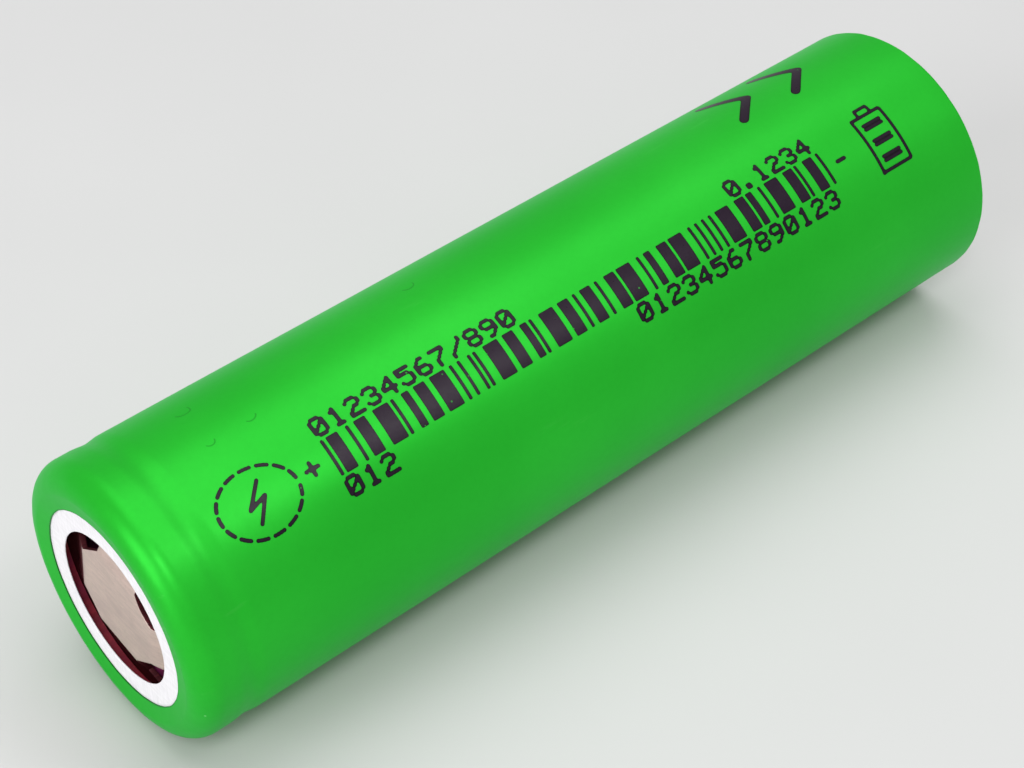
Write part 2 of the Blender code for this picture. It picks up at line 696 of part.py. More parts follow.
def outer_tab_place():
    """(distance of its flat from the axis, angle, half width) of the tab just past the anode's outer end."""
    step = ROLL_STEPS + OUTER_TAB_MARGIN_STEPS
    corner = (roll_radius(step, ANODE_OFFSET) + roll_radius(step + 1, ANODE_OFFSET)) / 2
    half_step = math.pi / ROLL_SIDES
    return corner * math.cos(half_step), roll_angle(step + 0.5), corner * math.sin(half_step)


def insulator(cell, name, hole, bottom, slot_reach, slot_half_width, slot_angle):
    """A round insulating disc with a hole in its middle and a slot for a tab."""
    plate = ring(cell, name, INSULATOR_RADIUS, hole, bottom, INSULATOR_THICKNESS, "insulator_board")
    slot = box_cutter(
        cell,
        name + "_slot",
        slot_reach,
        slot_half_width + TAB_SLOT_MARGIN,
        (bottom - INSULATOR_THICKNESS, bottom + 2 * INSULATOR_THICKNESS),
        slot_angle,
    )
    join(plate, slot, "DIFFERENCE")


def insulators(cell):
    """Discs that keep the winding off the cap side and off the can's bottom."""
    edge, bow, half_width, angle = cathode_tab_place()
    reach = (edge - TAB_SLOT_MARGIN, edge + bow + TAB_SLOT_MARGIN)
    insulator(
        cell, "top_insulator", TOP_INSULATOR_HOLE, TOP_INSULATOR_BOTTOM, reach, half_width, angle
    )
    distance, angle, half_width = outer_tab_place()
    reach = (distance - TAB_SLOT_MARGIN, CELL_RADIUS)
    insulator(
        cell,
        "bottom_insulator",
        BOTTOM_INSULATOR_HOLE,
        BOTTOM_INSULATOR_BOTTOM,
        reach,
        half_width,
        angle,
    )


def main():
    clear_scene()
    cell = Cell()
    shrink_sleeve(cell)
    positive_washer(cell)
    steel_can(cell)
    sealing_gasket(cell)
    positive_cap(cell)
    vent_disc(cell)
    cid_spacer(cell)
    cid_disc(cell)
    insulators(cell)
    winding(cell)
    cathode_tab(cell)
    cathode_tab_tape(cell)
    anode_tabs(cell)


main()
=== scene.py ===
"""Looks of a cylindrical lithium-ion cell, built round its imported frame.

The cell lies along X with its positive end at +X. A place on it is given by x, the distance r from its
axis and the turn t round the axis, measured from +Y towards +Z. All lengths are in metres.
"""

import math

import bpy
import numpy as np
from mathutils import Matrix, Vector


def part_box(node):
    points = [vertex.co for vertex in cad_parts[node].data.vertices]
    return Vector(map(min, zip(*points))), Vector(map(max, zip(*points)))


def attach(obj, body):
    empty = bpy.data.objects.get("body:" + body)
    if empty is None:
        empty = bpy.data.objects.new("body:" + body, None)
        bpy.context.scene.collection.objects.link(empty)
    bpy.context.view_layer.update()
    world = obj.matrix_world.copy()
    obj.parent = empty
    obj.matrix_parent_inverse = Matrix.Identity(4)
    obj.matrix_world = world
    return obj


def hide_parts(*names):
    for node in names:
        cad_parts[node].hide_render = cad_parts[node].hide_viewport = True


bl_info = {
    "name": "Cylindrical cell",
    "version": (1, 0, 0),
    "blender": (4, 5, 0),
    "location": "View3D > Sidebar > Cell",
    "description": "Sleeve, print, terminals and inner finishes of a cylindrical lithium-ion cell",
    "category": "Add Mesh",
}

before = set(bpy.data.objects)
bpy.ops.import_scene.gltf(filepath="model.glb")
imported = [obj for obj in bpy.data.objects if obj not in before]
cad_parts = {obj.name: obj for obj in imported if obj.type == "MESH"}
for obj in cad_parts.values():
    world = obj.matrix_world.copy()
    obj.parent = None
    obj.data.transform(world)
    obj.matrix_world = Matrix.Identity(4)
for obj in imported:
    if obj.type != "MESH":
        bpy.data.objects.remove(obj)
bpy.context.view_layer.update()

MM = 0.001
BODY = "root"
COLUMNS = 256

SLEEVE_LOW, SLEEVE_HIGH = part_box("shrink_sleeve")
WASHER_LOW, WASHER_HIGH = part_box("positive_washer")
CAP_LOW, CAP_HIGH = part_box("positive_cap")
CAN_LOW, CAN_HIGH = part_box("steel_can")
VENT_LOW, VENT_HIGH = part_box("vent_disc")
AXIS_Z = (SLEEVE_LOW.z + SLEEVE_HIGH.z) / 2
POSITIVE_END = SLEEVE_HIGH.x
NEGATIVE_END = SLEEVE_LOW.x
SLEEVE_RADIUS = (SLEEVE_HIGH.z - SLEEVE_LOW.z) / 2
CAN_RADIUS = (CAN_HIGH.z - CAN_LOW.z) / 2

SLEEVE_TOP_CORNER = 1.58 * MM
SLEEVE_BOTTOM_CORNER = 0.25 * MM
LIP_DROP = 0.195 * MM
LIP_THINNING = 0.04 * MM
LIP_TAPER = 0.90 * MM
DIP_PLACE = 28.95 * MM
DIP_HALF_WIDTH = 1.05 * MM
CRIMP_STEP = 0.02 * MM
RECESS_START = 25.9 * MM
RECESS_FULL = 26.4 * MM
RECESS_DEPTH = 0.004 * MM
FINE_ROWS_END = 25.4 * MM
PLAIN_ROWS_START = 25.0 * MM
WAVE_HEIGHT = 0.0016 * MM
WAVE_SINK = 0.005 * MM
GATHER_HEIGHT = 0.006 * MM
GATHER_START = 31.6 * MM
GATHER_FULL = 32.3 * MM

# Hair marks: place along X in millimetres, angle from the top in degrees towards +Y, radius of the
# curve in millimetres and how far round the cell it is drawn, in degrees.
HAIR_MARKS = (
    (24.5, -19.0, 0.75, 4),
    (24.9, 2.6, 0.55, 4),
    (22.0, 2.0, 0.6, 4),
    (7.9, -19.5, 0.7, 4),
)

WASHER_CORNER = 0.05 * MM
WASHER_EDGE = 0.10 * MM
WASHER_TAPER = 0.60 * MM

CRIMP_RADIUS = 1.10 * MM
CRIMP_OPENING = 6.90 * MM
CAN_BOTTOM_CORNER = 0.50 * MM
CAN_RIM_HEIGHT = 0.08 * MM
CAN_LAND_RADIUS = 6.75 * MM
CAN_LAND_EDGE = 0.10 * MM
CAN_FINE_ROWS_END = 28.0 * MM
CAN_PLAIN_ROWS_START = 27.5 * MM
WELD_MARK_RADIUS = 1.1 * MM
WELD_MARK_DEPTH = 0.03 * MM

CAP_SLOPE_END = 5.20 * MM
CAP_WINDOW_CORNER = 3.40 * MM
CAP_BEND = 0.07
WINDOW_CUTS = (0.075, 0.0, 0.01, 0.0)
CAP_TURN = math.radians(-9.5)
CAP_CROWN = 0.02 * MM
CAP_EDGE_ROUND = 0.025 * MM
CAP_HUB_SHARE = 0.03
CONTACT_ROWS, SLOPE_ROWS, FLANGE_ROWS = 20, 18, 8
LEG_COLUMNS, WINDOW_COLUMNS = 18, 26
# Turn round the axis, from +Y towards +Z, on whose side the cap's painted shade is darkest.
PAINTED_SHADE_TURN = math.radians(218)

VENT_DISH_RADIUS = 4.20 * MM
VENT_WELD_RADIUS = 1.40 * MM
VENT_SCORE_RADIUS = 4.70 * MM
VENT_SCORE_HALF_WIDTH = 0.15 * MM
VENT_SCORE_DEPTH = 0.12 * MM

INK_HEIGHT = 0.010 * MM
INK_ROOT = 0.030 * MM
INK_EDGE = 0.10 * MM
PRINT_STEP = 0.045 * MM
PRINT_ANGLE = 32.4
ROW_ANGLE = 12.45
UPPER_ROW = PRINT_ANGLE - ROW_ANGLE
LOWER_ROW = PRINT_ANGLE + ROW_ANGLE
DOT_COLUMN = 0.205 * MM
DOT_ROW = 0.178 * MM
DOT_REACH = 0.122 * MM
DOT_FULL_INK = 0.6
DIGIT_PITCH = 1.27 * MM
BAR_HEIGHT = 2.39 * MM
BAR_START = 19.73 * MM
BAR_END = -20.70 * MM
BAR_MODULE = 0.30 * MM
BAR_MARGIN = 0.10 * MM
BAR_CORNER = 0.09 * MM
BAR_GRID_STEP = 0.035 * MM
MARK_REACH = 0.115 * MM
MARK_PITCH = 0.19 * MM
SIGN_PITCH = 0.17 * MM
MINUS_PITCH = 0.15 * MM
RING_HALF_LENGTH = 2.62 * MM
RING_HALF_HEIGHT = 2.08 * MM
RING_DOTS = 76
DASH_DOTS = 5
CHEVRON_REACH = 0.27 * MM
CHEVRON_PITCH = 0.30 * MM
CHEVRON_STEP = 0.06 * MM
CHEVRON_ANGLE = -20.0
BOLT_MARK_ANGLE = PRINT_ANGLE + 0.6
BOLT_MARK_PLACE = 24.76 * MM
PLUS_PLACE = 21.04 * MM
MINUS_PLACE = -21.95 * MM
BATTERY_MARK_PLACE = -25.8 * MM
CHEVRON_PLACE = -22.4 * MM

# Rows of digits: what they say, where they start along X and their angle from the top.
DIGIT_ROWS = (
    ("01234567/890", 19.6 * MM, UPPER_ROW),
    ("0.1234", -13.3 * MM, UPPER_ROW),
    ("012", 19.7 * MM, LOWER_ROW),
    ("01234567890123", -2.8 * MM, LOWER_ROW),
)

DIGITS = {
    "0": "01110 10001 10011 10101 11001 10001 01110",
    "1": "00100 01100 00100 00100 00100 00100 01110",
    "2": "01110 10001 00001 00110 01000 10000 11111",
    "3": "01110 10001 00001 00110 00001 10001 01110",
    "4": "00010 00110 01010 10010 11111 00010 00010",
    "5": "11111 10000 11110 00001 00001 10001 01110",
    "6": "00110 01000 10000 11110 10001 10001 01110",
    "7": "11111 00001 00010 00100 01000 01000 01000",
    "8": "01110 10001 10001 01110 10001 10001 01110",
    "9": "01110 10001 10001 01111 00001 00010 01100",
    "/": "00001 00001 00010 00100 01000 10000 10000",
    ".": "00000 00000 00000 00000 00000 01100 01100",
}


def linear(red, green, blue):
    """Linear colour of a screen colour given as three numbers from 0 to 255."""
    shares = np.array([red, green, blue]) / 255
    curve = ((shares + 0.055) / 1.055) ** 2.4
    return tuple(float(c) for c in np.where(shares < 0.04045, shares / 12.92, curve))


# --------------------------------------------------------------------------- settings


def length(name, description, default):
    """A setting in metres."""
    return bpy.props.FloatProperty(
        name=name, description=description, default=default, unit="LENGTH", precision=5
    )


def colour(name, description, default):
    """A setting that holds a linear colour."""
    return bpy.props.FloatVectorProperty(
        name=name, description=description, default=default, subtype="COLOR", size=3, min=0, max=1
    )


class CellSizes(bpy.types.PropertyGroup):
    """Sizes of the pieces that show."""

    sleeve_wall: length("Sleeve wall", "Thickness of the shrink film", 0.10 * MM)
    lip_opening: length("Lip opening", "Radius of the sleeve's opening at the positive end", 6.47 * MM)
    tail_opening: length("Tail opening", "Radius of the sleeve's opening at the negative end", 7.0 * MM)
    groove_place: length("Groove place", "Distance of the groove from the middle of the cell", 29.25 * MM)
    groove_half_width: length("Groove half width", "Half the width of the can's groove", 1.0 * MM)
    groove_depth: length("Groove depth", "Depth of the can's groove", 0.75 * MM)
    film_dip: length("Film dip", "How far the film sinks over the groove", 0.11 * MM)
    can_wall: length("Can wall", "Thickness of the can", 0.25 * MM)
    washer_hole: length("Washer hole", "Radius of the hole in the washer", 5.01 * MM)
    cap_sheet: length("Cap sheet", "Thickness of the cap", 0.32 * MM)
    contact_half_width: length("Contact half width", "Half the width of the raised contact", 3.40 * MM)
    leg_half_width: length("Leg half width", "Half the width of a leg of the cap", 1.85 * MM)
    vent_sheet: length("Vent sheet", "Thickness of the burst disc", 0.30 * MM)


class CellColours(bpy.types.PropertyGroup):
    """Colours of the pieces that show."""

    film: colour("Film", "Colour of the sleeve", linear(39, 184, 44))
    ink: colour("Ink", "Colour of the print", linear(22, 11, 24))
    fibre: colour("Fibre", "Colour of the washer", linear(248, 246, 250))
    contact: colour("Contact", "Colour of the cap's nickel", linear(222, 200, 190))
    # Painted shade: a dark colour laid on the cap below its contact and on its cut edge, standing in for the
    # shade in the cavity under the washer.
    painted_shade: colour("Painted shade", "Colour that the cap takes below its contact", linear(96, 40, 46))
    # Painted shade: the burst disc is coloured dark purple to stand for the shade in the cavity under the
    # cap.
    cavity_shade: colour("Cavity shade", "Colour of the burst disc's lacquer", linear(138, 42, 98))
    sealant: colour("Sealant", "Colour of the sealant on the gasket", linear(178, 62, 76))
    plate: colour("Plate", "Colour of the can's nickel", linear(205, 203, 196))
    floor: colour("Floor", "Colour of the floor", linear(206, 206, 206))


# --------------------------------------------------------------------------- shapes


def placed(x, radius, turn):
    """Point at distance radius from the cell's axis: (x, radius cos turn, axis + radius sin turn)."""
    x, radius, turn = np.broadcast_arrays(x, radius, turn)
    return np.stack([x, radius * np.cos(turn), AXIS_Z + radius * np.sin(turn)], -1)


def arc(centre, radius, start, end, count):
    """Points (x, r) on a circle round centre, from angle start to end: centre + radius (cos, sin)."""
    angles = np.radians(np.linspace(start, end, count))
    return np.stack([centre[0] + radius * np.cos(angles), centre[1] + radius * np.sin(angles)], -1)


def line(start, end, count):
    """Points (x, r) on the straight line from start to end, both included."""
    return np.linspace(start, end, count)


def offset(path, distance):
    """A path moved sideways: each point goes distance along the normal of the path at that point."""
    along = np.gradient(path, axis=0)
    along /= np.linalg.norm(along, axis=1, keepdims=True)
    return path + distance * np.stack([-along[:, 1], along[:, 0]], -1)


def distinct(path):
    """The path without points that lie on the one before."""
    steps = np.linalg.norm(np.diff(path, axis=0), axis=1)
    return path[np.concatenate([[True], steps > 1e-7])]


def grid_faces(rows, columns, closed_rows):
    """Quads of a grid that is closed round its columns, and round its rows where closed_rows is true."""
    index = np.arange(rows * columns).reshape(rows, columns)
    right = np.roll(index, -1, axis=1)
    if closed_rows:
        below, below_right = np.roll(index, -1, axis=0), np.roll(right, -1, axis=0)
    else:
        index, below = index[:-1], index[1:]
        right, below_right = right[:-1], right[1:]
    return np.stack([index, right, below_right, below], -1).reshape(-1, 4)


def outward(points, faces):
    """The faces turned so that the closed shape that they make has a positive volume."""
    corners = points[faces]
    fans = [(corners[:, 0], corners[:, i], corners[:, i + 1]) for i in range(1, faces.shape[1] - 1)]
    volume = sum(np.einsum("ij,ij->i", a, np.cross(b, c)).sum() for a, b, c in fans)
    return faces if volume > 0 else faces[:, ::-1]


def turned(profile, swell):
    """A closed loop of points (x, r) swept round the axis.

    Each point of the loop and each turn t give (x, r cos t, axis + r sin t), with r raised by
    swell(x, t).
    """
    turns = np.linspace(0, 2 * np.pi, COLUMNS, endpoint=False)[None, :]
    x, radius = profile[:, :1], profile[:, 1:]
    points = placed(x, radius + swell(x, turns), turns).reshape(-1, 3)
    return points, outward(points, grid_faces(len(profile), COLUMNS, True))


def turned_solid(profile):
    """A path of points (x, r) from the axis back to the axis, swept round it, with a fan at each pole."""
    ring, poles = profile[1:-1], profile[[0, -1], 0]
    turns = np.linspace(0, 2 * np.pi, COLUMNS, endpoint=False)
    points = placed(ring[:, :1], ring[:, 1:], turns[None, :]).reshape(-1, 3)
    quads = grid_faces(len(ring), COLUMNS, False)
    first = np.arange(COLUMNS)
    last = first + (len(ring) - 1) * COLUMNS
    north, south = len(points), len(points) + 1
    top = np.stack([np.full(COLUMNS, north), np.roll(first, -1), first], -1)
    bottom = np.stack([np.full(COLUMNS, south), last, np.roll(last, -1)], -1)
    points = np.concatenate([points, [(x, 0, AXIS_Z) for x in poles]])
    halves = np.concatenate([quads[:, [0, 1, 2]], quads[:, [0, 2, 3]]])
    return points, outward(points, np.concatenate([halves, top, bottom]))


def new_piece(name, points, faces, finish, sharp_angle=35, marks=None):
    """A mesh object from arrays of points and faces, with float attributes by name."""
    mesh = bpy.data.meshes.new(name)
    mesh.from_pydata(points.tolist(), [], faces.tolist())
    mesh.polygons.foreach_set("use_smooth", np.ones(len(mesh.polygons), bool))
    mesh.set_sharp_from_angle(angle=math.radians(sharp_angle))
    for mark, values in (marks or {}).items():
        attribute = mesh.attributes.new(mark, "FLOAT", "POINT")
        attribute.data.foreach_set("value", values.astype(np.float32))
    mesh.materials.append(finish)
    mesh.update()
    piece = bpy.data.objects.new(name, mesh)
    bpy.context.scene.collection.objects.link(piece)
    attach(piece, BODY)
    return piece


# --------------------------------------------------------------------------- finishes


def arithmetic(operation, swapped=False):
    """A method of Wire that adds a Math node, with the wire as its first value or, swapped, its last."""

    def act(wire, *others):
        values = (*others, wire) if swapped else (wire, *others)
        return wire.finish.node("Math", {"operation": operation}, dict(enumerate(values)))

    return act


class Wire:
    """The output of a shader node. Arithmetic on it adds Math nodes."""

    def __init__(self, finish, socket):
        self.finish = finish
        self.socket = socket

    __add__ = arithmetic("ADD")
    __radd__ = arithmetic("ADD", swapped=True)
    __sub__ = arithmetic("SUBTRACT")
    __rsub__ = arithmetic("SUBTRACT", swapped=True)
    __mul__ = arithmetic("MULTIPLY")
    __rmul__ = arithmetic("MULTIPLY", swapped=True)
    __truediv__ = arithmetic("DIVIDE")
    __lt__ = arithmetic("LESS_THAN")
    __gt__ = arithmetic("GREATER_THAN")
    __abs__ = arithmetic("ABSOLUTE")


class Finish:
    """A procedural material on one Principled shader."""

    def __init__(self, name, **constants):
        self.material = bpy.data.materials.new(name)
        self.material.use_nodes = True
        self.tree = self.material.node_tree
        self.shader = self.tree.nodes["Principled BSDF"]
        for socket, value in constants.items():
            self.shader.inputs[socket.replace("_", " ")].default_value = value

    def node(self, kind, settings=None, values=None, output=0):
        """Adds one shader node: its settings first, then the values or links of its sockets."""
        made = self.tree.nodes.new("ShaderNode" + kind)
        for setting, value in (settings or {}).items():
            setattr(made, setting, value)
        for socket, value in (values or {}).items():
            self.feed(made.inputs[socket], value)
        return Wire(self, made.outputs[output])

    def feed(self, socket, value):
        """Links a wire to a socket, or sets a constant on it."""
        if isinstance(value, Wire):
            self.tree.links.new(value.socket, socket)
        elif socket.type == "RGBA" and len(value) == 3:
            socket.default_value = (*value, 1)
        else:
            socket.default_value = value

    def paint(self, **inputs):
        """Feeds the shader's own sockets."""
        for socket, value in inputs.items():
            self.feed(self.shader.inputs[socket.replace("_", " ")], value)
        return self.material

    def place(self):
        """Object coordinates, in metres."""
        return self.node("TexCoord", output="Object")

    def attribute(self, name):
        """The value of a float attribute of the mesh."""
        return self.node("Attribute", {"attribute_name": name}, output="Fac")

    def stretched(self, scale, turn=(0, 0, 0)):
        """Object coordinates turned, then stretched by a factor on each axis."""
        return self.node("Mapping", {}, {"Vector": self.place(), "Scale": scale, "Rotation": turn})

    def noise(self, scale, detail=2.0, roughness=0.5, vector=None):
        """Noise from 0 to 1 with scale cells in a metre."""
        values = {"Scale": scale, "Detail": detail, "Roughness": roughness}
        return self.node("TexNoise", {}, {"Vector": vector or self.place(), **values})

    def step(self, value, low, high):
        """Smooth step from 0 at low to 1 at high."""
        values = {"Value": value, "From Min": low, "From Max": high}
        return self.node("MapRange", {"interpolation_type": "SMOOTHSTEP"}, values)

    def mix(self, share, first, second):
        """Colour between first and second, by share."""
        return self.node("Mix", {"data_type": "RGBA"}, {0: share, 6: first, 7: second}, output=2)

    def bump(self, height, distance, strength):
        """Normal of a surface raised by height times distance."""
        values = {"Height": height, "Distance": distance, "Strength": strength}
        return self.node("Bump", {}, values)

    def specks(self, scale, size, share):
        """Small round specks: cells of a Voronoi pattern, of which only the given share has a speck."""
        values = {"Vector": self.place(), "Scale": scale}
        near = self.node("TexVoronoi", {}, values, output="Distance")
        tone = self.node("TexVoronoi", {}, values, output="Color")
        chosen = self.node("SeparateColor", {}, {0: tone}) > 1 - share
        return (1 - self.step(near, size * 0.6, size)) * chosen


def darker(tone, share):
    """The colour times a share, which may be above 1."""
    return tuple(c * share for c in tone)


def film_finish(tones):
    """Satin green shrink film with faint clouding, orange peel, hair marks, dust specks and a painted shadow
    along its cut edges.
    """
    film = Finish(
        "shrink_film",
        Metallic=0.34,
        IOR=1.38,
        Specular_IOR_Level=0.2,
        Specular_Tint=(0.20, 0.95, 0.70, 1),
        Coat_Roughness=0.30,
    )
    tone = tuple(tones.film)
    clouds = film.noise(70, 3)
    grain = film.noise(2600, 3)
    rub = film.noise(1, 4, 0.6, film.stretched((90, 900, 900)))
    base = film.mix(film.step(clouds, 0.3, 0.7), darker(tone, 0.95), darker(tone, 1.04))
    base = film.mix(film.step(grain, 0.35, 0.75) * 0.10, base, darker(tone, 0.72))
    scuffs = film.step(rub, 0.62, 0.74) * film.step(clouds, 0.45, 0.65)
    base = film.mix(scuffs * 0.10, base, linear(130, 225, 130))
    hairs = hair_marks(film)
    base = film.mix(hairs * 0.55, base, darker(tone, 0.32))
    dust = film.specks(420, 0.055, 0.10)
    base = film.mix(dust * 0.75, base, darker(tone, 0.30))
    pale = film.specks(530, 0.045, 0.06)
    base = film.mix(pale * 0.6, base, linear(150, 235, 150))
    # Painted shadow: the film darkens at its cut edges, standing in for the shadow where the lip stands over
    # the washer.
    base = film.mix(film.attribute("cut_edge") * 0.8, base, darker(tone, 0.15))
    roughness = 0.35 + 0.05 * clouds + 0.05 * scuffs + 0.03 * grain
    height = grain * 0.25 + clouds * 0.4 + dust * 0.6 + hairs * 0.5
    return film.paint(
        Base_Color=base,
        Roughness=roughness,
        Coat_Weight=0.03 + 0.05 * film.step(clouds, 0.35, 0.65),
        Normal=film.bump(height, 0.004 * MM, 0.8),
    )


def hair_marks(film):
    """Short curved hair lines.

    Each is where the distance to a centre on the film is near a radius, and where a second point, off
    to one side, is no further away than about that radius.
    """
    total = 0
    for along, angle, radius, span in HAIR_MARKS:
        turn = math.radians(90 - angle)
        centre = placed(along * MM, SLEEVE_RADIUS, turn).tolist()
        gate_turn = math.radians(90 - angle - span)
        gate = placed((along - 0.25 * radius) * MM, SLEEVE_RADIUS, gate_turn).tolist()
        wobble = film.noise(900, 1) * 0.35 * MM
        settings = {"operation": "DISTANCE"}
        reach = film.node("VectorMath", settings, {0: film.place(), 1: centre}, output="Value")
        near = film.node("VectorMath", settings, {0: film.place(), 1: gate}, output="Value")
        thin = 1 - film.step(abs(reach + wobble - radius * MM), 0.02 * MM, 0.06 * MM)
        total = total + thin * (near < radius * 1.05 * MM)
    return total


def ink_finish(tones):
    """Dot-printed ink, darker where it has run to the edges, lighter in the middle as a painted sheen, and
    mottled in the middle.
    """
    ink = Finish("print_ink", IOR=1.5, Specular_IOR_Level=0.16)
    tone = tuple(tones.ink)
    # Each mark is darker at its edges, where ink has run, and lighter in its middle as a painted sheen.
    sheen_middle = ink.step(ink.attribute("ink_depth"), 0.15, 0.9)
    mottle = ink.noise(3800, 2)
    base = ink.mix(sheen_middle, darker(tone, 0.35), darker(tone, 1.8))
    base = ink.mix(ink.step(mottle, 0.45, 0.8) * 0.35, base, darker(tone, 2.2))
    pin_holes = ink.specks(2200, 0.16, 0.12)
    base = ink.mix(pin_holes * 0.5, base, tuple(tones.film))
    return ink.paint(
        Base_Color=base,
        Roughness=0.24 + 0.12 * mottle,
        Normal=ink.bump(mottle, 0.003 * MM, 0.8),
    )


def fibre_finish(tones):
    """Pressed white fibre board: short crossed fibres, faint cloudy tone and a soft surface."""
    fibre = Finish("white_fibre", Specular_IOR_Level=0.25)
    tone = tuple(tones.fibre)
    across = fibre.noise(1, 3, 0.6, fibre.stretched((500, 5200, 700), (0.6, 0, 0)))
    along = fibre.noise(1, 3, 0.6, fibre.stretched((500, 700, 5200), (0.2, 0, 0)))
    clouds = fibre.noise(600, 3)
    threads = (across + along) / 2
    base = fibre.mix(fibre.step(threads, 0.35, 0.65), darker(tone, 0.90), tone)
    base = fibre.mix(fibre.step(clouds, 0.55, 0.8) * 0.25, base, linear(214, 208, 224))
    flecks = fibre.specks(900, 0.08, 0.08)
    base = fibre.mix(flecks * 0.35, base, linear(150, 140, 150))
    return fibre.paint(
        Base_Color=base,
        Roughness=0.72 + 0.15 * threads,
        Normal=fibre.bump(threads + 0.4 * clouds, 0.012 * MM, 0.7),
    )


def contact_finish(tones):
    """Satin nickel on the cap: brushed grain and speckle on the contact, with painted shade lower down that
    is darkest on one side.
    """
    nickel = Finish("cap_nickel", Metallic=0.92)
    tone = tuple(tones.contact)
    grain = nickel.noise(1, 4, 0.65, nickel.stretched((900, 700, 4200), (0.7, 0, 0)))
    speckle = nickel.noise(5200, 2)
    clouds = nickel.noise(420, 3)
    base = nickel.mix(nickel.step(grain, 0.3, 0.7), darker(tone, 0.88), darker(tone, 1.03))
    base = nickel.mix(nickel.step(speckle, 0.5, 0.75) * 0.25, base, darker(tone, 0.72))
    base = nickel.mix(nickel.step(clouds, 0.4, 0.7) * 0.3, base, linear(190, 168, 165))
    pits = nickel.specks(1500, 0.10, 0.10)
    base = nickel.mix(pits * 0.5, base, linear(110, 90, 90))
    # Painted shade: the cap darkens below its contact and towards one side, broken into patches by the
    # clouds.
    painted_shade = nickel.attribute("painted_shade")
    patches = nickel.step(painted_shade + 0.35 * (clouds - 0.5), 0.25, 0.75)
    base = nickel.mix(patches, base, tuple(tones.painted_shade))
    return nickel.paint(
        Base_Color=base,
        Roughness=0.36 + 0.14 * grain + 0.1 * patches,
        Normal=nickel.bump(grain * 0.7 + speckle * 0.3 - pits, 0.004 * MM, 0.6),
    )


def edge_finish(tones):
    """Sheared edge of the cap's sheet, in the dark colour of the cap's painted shade, with fine vertical
    tears.
    """
    edge = Finish("cap_cut_edge", Metallic=0.5)
    # The edge takes the cap's painted shade colour.
    tone = tuple(tones.painted_shade)
    tears = edge.noise(1, 3, 0.6, edge.stretched((600, 6000, 6000)))
    clouds = edge.noise(1200, 2)
    base = edge.mix(edge.step(tears, 0.35, 0.7), darker(tone, 0.8), darker(tone, 1.5))
    base = edge.mix(edge.step(clouds, 0.6, 0.85) * 0.3, base, linear(140, 105, 112))
    return edge.paint(
        Base_Color=base,
        Roughness=0.45 + 0.2 * clouds,
        Normal=edge.bump(tears, 0.004 * MM, 0.6),
    )


def plate_finish(tones):
    """Bright nickel plate on drawn steel, with faint drawing rings round the axis and rubbed spots."""
    plate = Finish("nickel_plate", Metallic=1.0)
    tone = tuple(tones.plate)
    centre = plate.node("Mapping", {}, {"Vector": plate.place(), "Location": (0, 0, -AXIS_Z)})
    around = plate.node("VectorMath", {"operation": "MULTIPLY"}, {0: centre, 1: (0, 1, 1)})
    radius = plate.node("VectorMath", {"operation": "LENGTH"}, {0: around}, output="Value")
    wander = plate.noise(700, 2)
    rings = plate.node("Math", {"operation": "SINE"}, {0: radius * 21000 + wander * 6})
    clouds = plate.noise(260, 4)
    speckle = plate.noise(6500, 2)
    base = plate.mix(plate.step(clouds, 0.35, 0.7), darker(tone, 0.90), tone)
    base = plate.mix(plate.step(speckle, 0.5, 0.8) * 0.3, base, darker(tone, 0.7))
    stains = plate.step(plate.noise(330, 5), 0.62, 0.72)
    base = plate.mix(stains * 0.35, base, linear(150, 135, 110))
    return plate.paint(
        Base_Color=base,
        Roughness=0.26 + 0.12 * clouds + 0.06 * speckle,
        Normal=plate.bump(rings * 0.25 + speckle, 0.002 * MM, 0.6),
    )


def vent_finish(tones):
    """Burst disc coloured dark purple as painted shade for the cavity under the cap, lighter in small
    patches.
    """
    vent = Finish("painted_shade_disc", Metallic=0.4)
    tone = tuple(tones.cavity_shade)
    clouds = vent.noise(900, 3)
    grain = vent.noise(4800, 2)
    base = vent.mix(vent.step(clouds, 0.35, 0.7), darker(tone, 0.7), darker(tone, 1.3))
    base = vent.mix(vent.step(grain, 0.66, 0.8) * 0.3, base, linear(150, 130, 145))
    return vent.paint(
        Base_Color=base,
        Roughness=0.42 + 0.2 * clouds,
        Normal=vent.bump(grain, 0.004 * MM, 0.6),
    )


def sealant_finish(tones):
    """Gasket wall under its dark red sealant, which has run in drips and pooled in patches coloured with the
    burst disc's painted shade.
    """
    seal = Finish("sealed_gasket", IOR=1.5, Specular_IOR_Level=0.6)
    tone = tuple(tones.sealant)
    runs = seal.noise(1, 3, 0.6, seal.stretched((300, 1500, 1500)))
    pools = seal.noise(500, 3)
    grain = seal.noise(4200, 2)
    base = seal.mix(seal.step(runs, 0.3, 0.7), darker(tone, 0.7), darker(tone, 1.2))
    # The pooled patches take the burst disc's painted shade colour.
    base = seal.mix(seal.step(pools, 0.45, 0.7) * 0.4, base, tuple(tones.cavity_shade))
    base = seal.mix(seal.step(grain, 0.6, 0.8) * 0.2, base, linear(190, 120, 120))
    return seal.paint(
        Base_Color=base,
        Roughness=0.24 + 0.2 * pools,
        Normal=seal.bump(runs + 0.3 * grain, 0.01 * MM, 0.6),
    )


def rolled_finish(name, tone, roughness):
    """Rolled metal foil: fine lines along X over a cloudy tone."""
    metal = Finish(name, Metallic=1.0)
    lines = metal.noise(1, 4, 0.7, metal.stretched((220, 5200, 5200)))
    clouds = metal.noise(380, 3)
    base = metal.mix(metal.step(lines, 0.3, 0.7), darker(tone, 0.84), tone)
    base = metal.mix(metal.step(clouds, 0.5, 0.8) * 0.25, base, darker(tone, 0.75))
    return metal.paint(
        Base_Color=base,
        Roughness=roughness + 0.15 * lines,
        Normal=metal.bump(lines, 0.003 * MM, 0.6),
    )


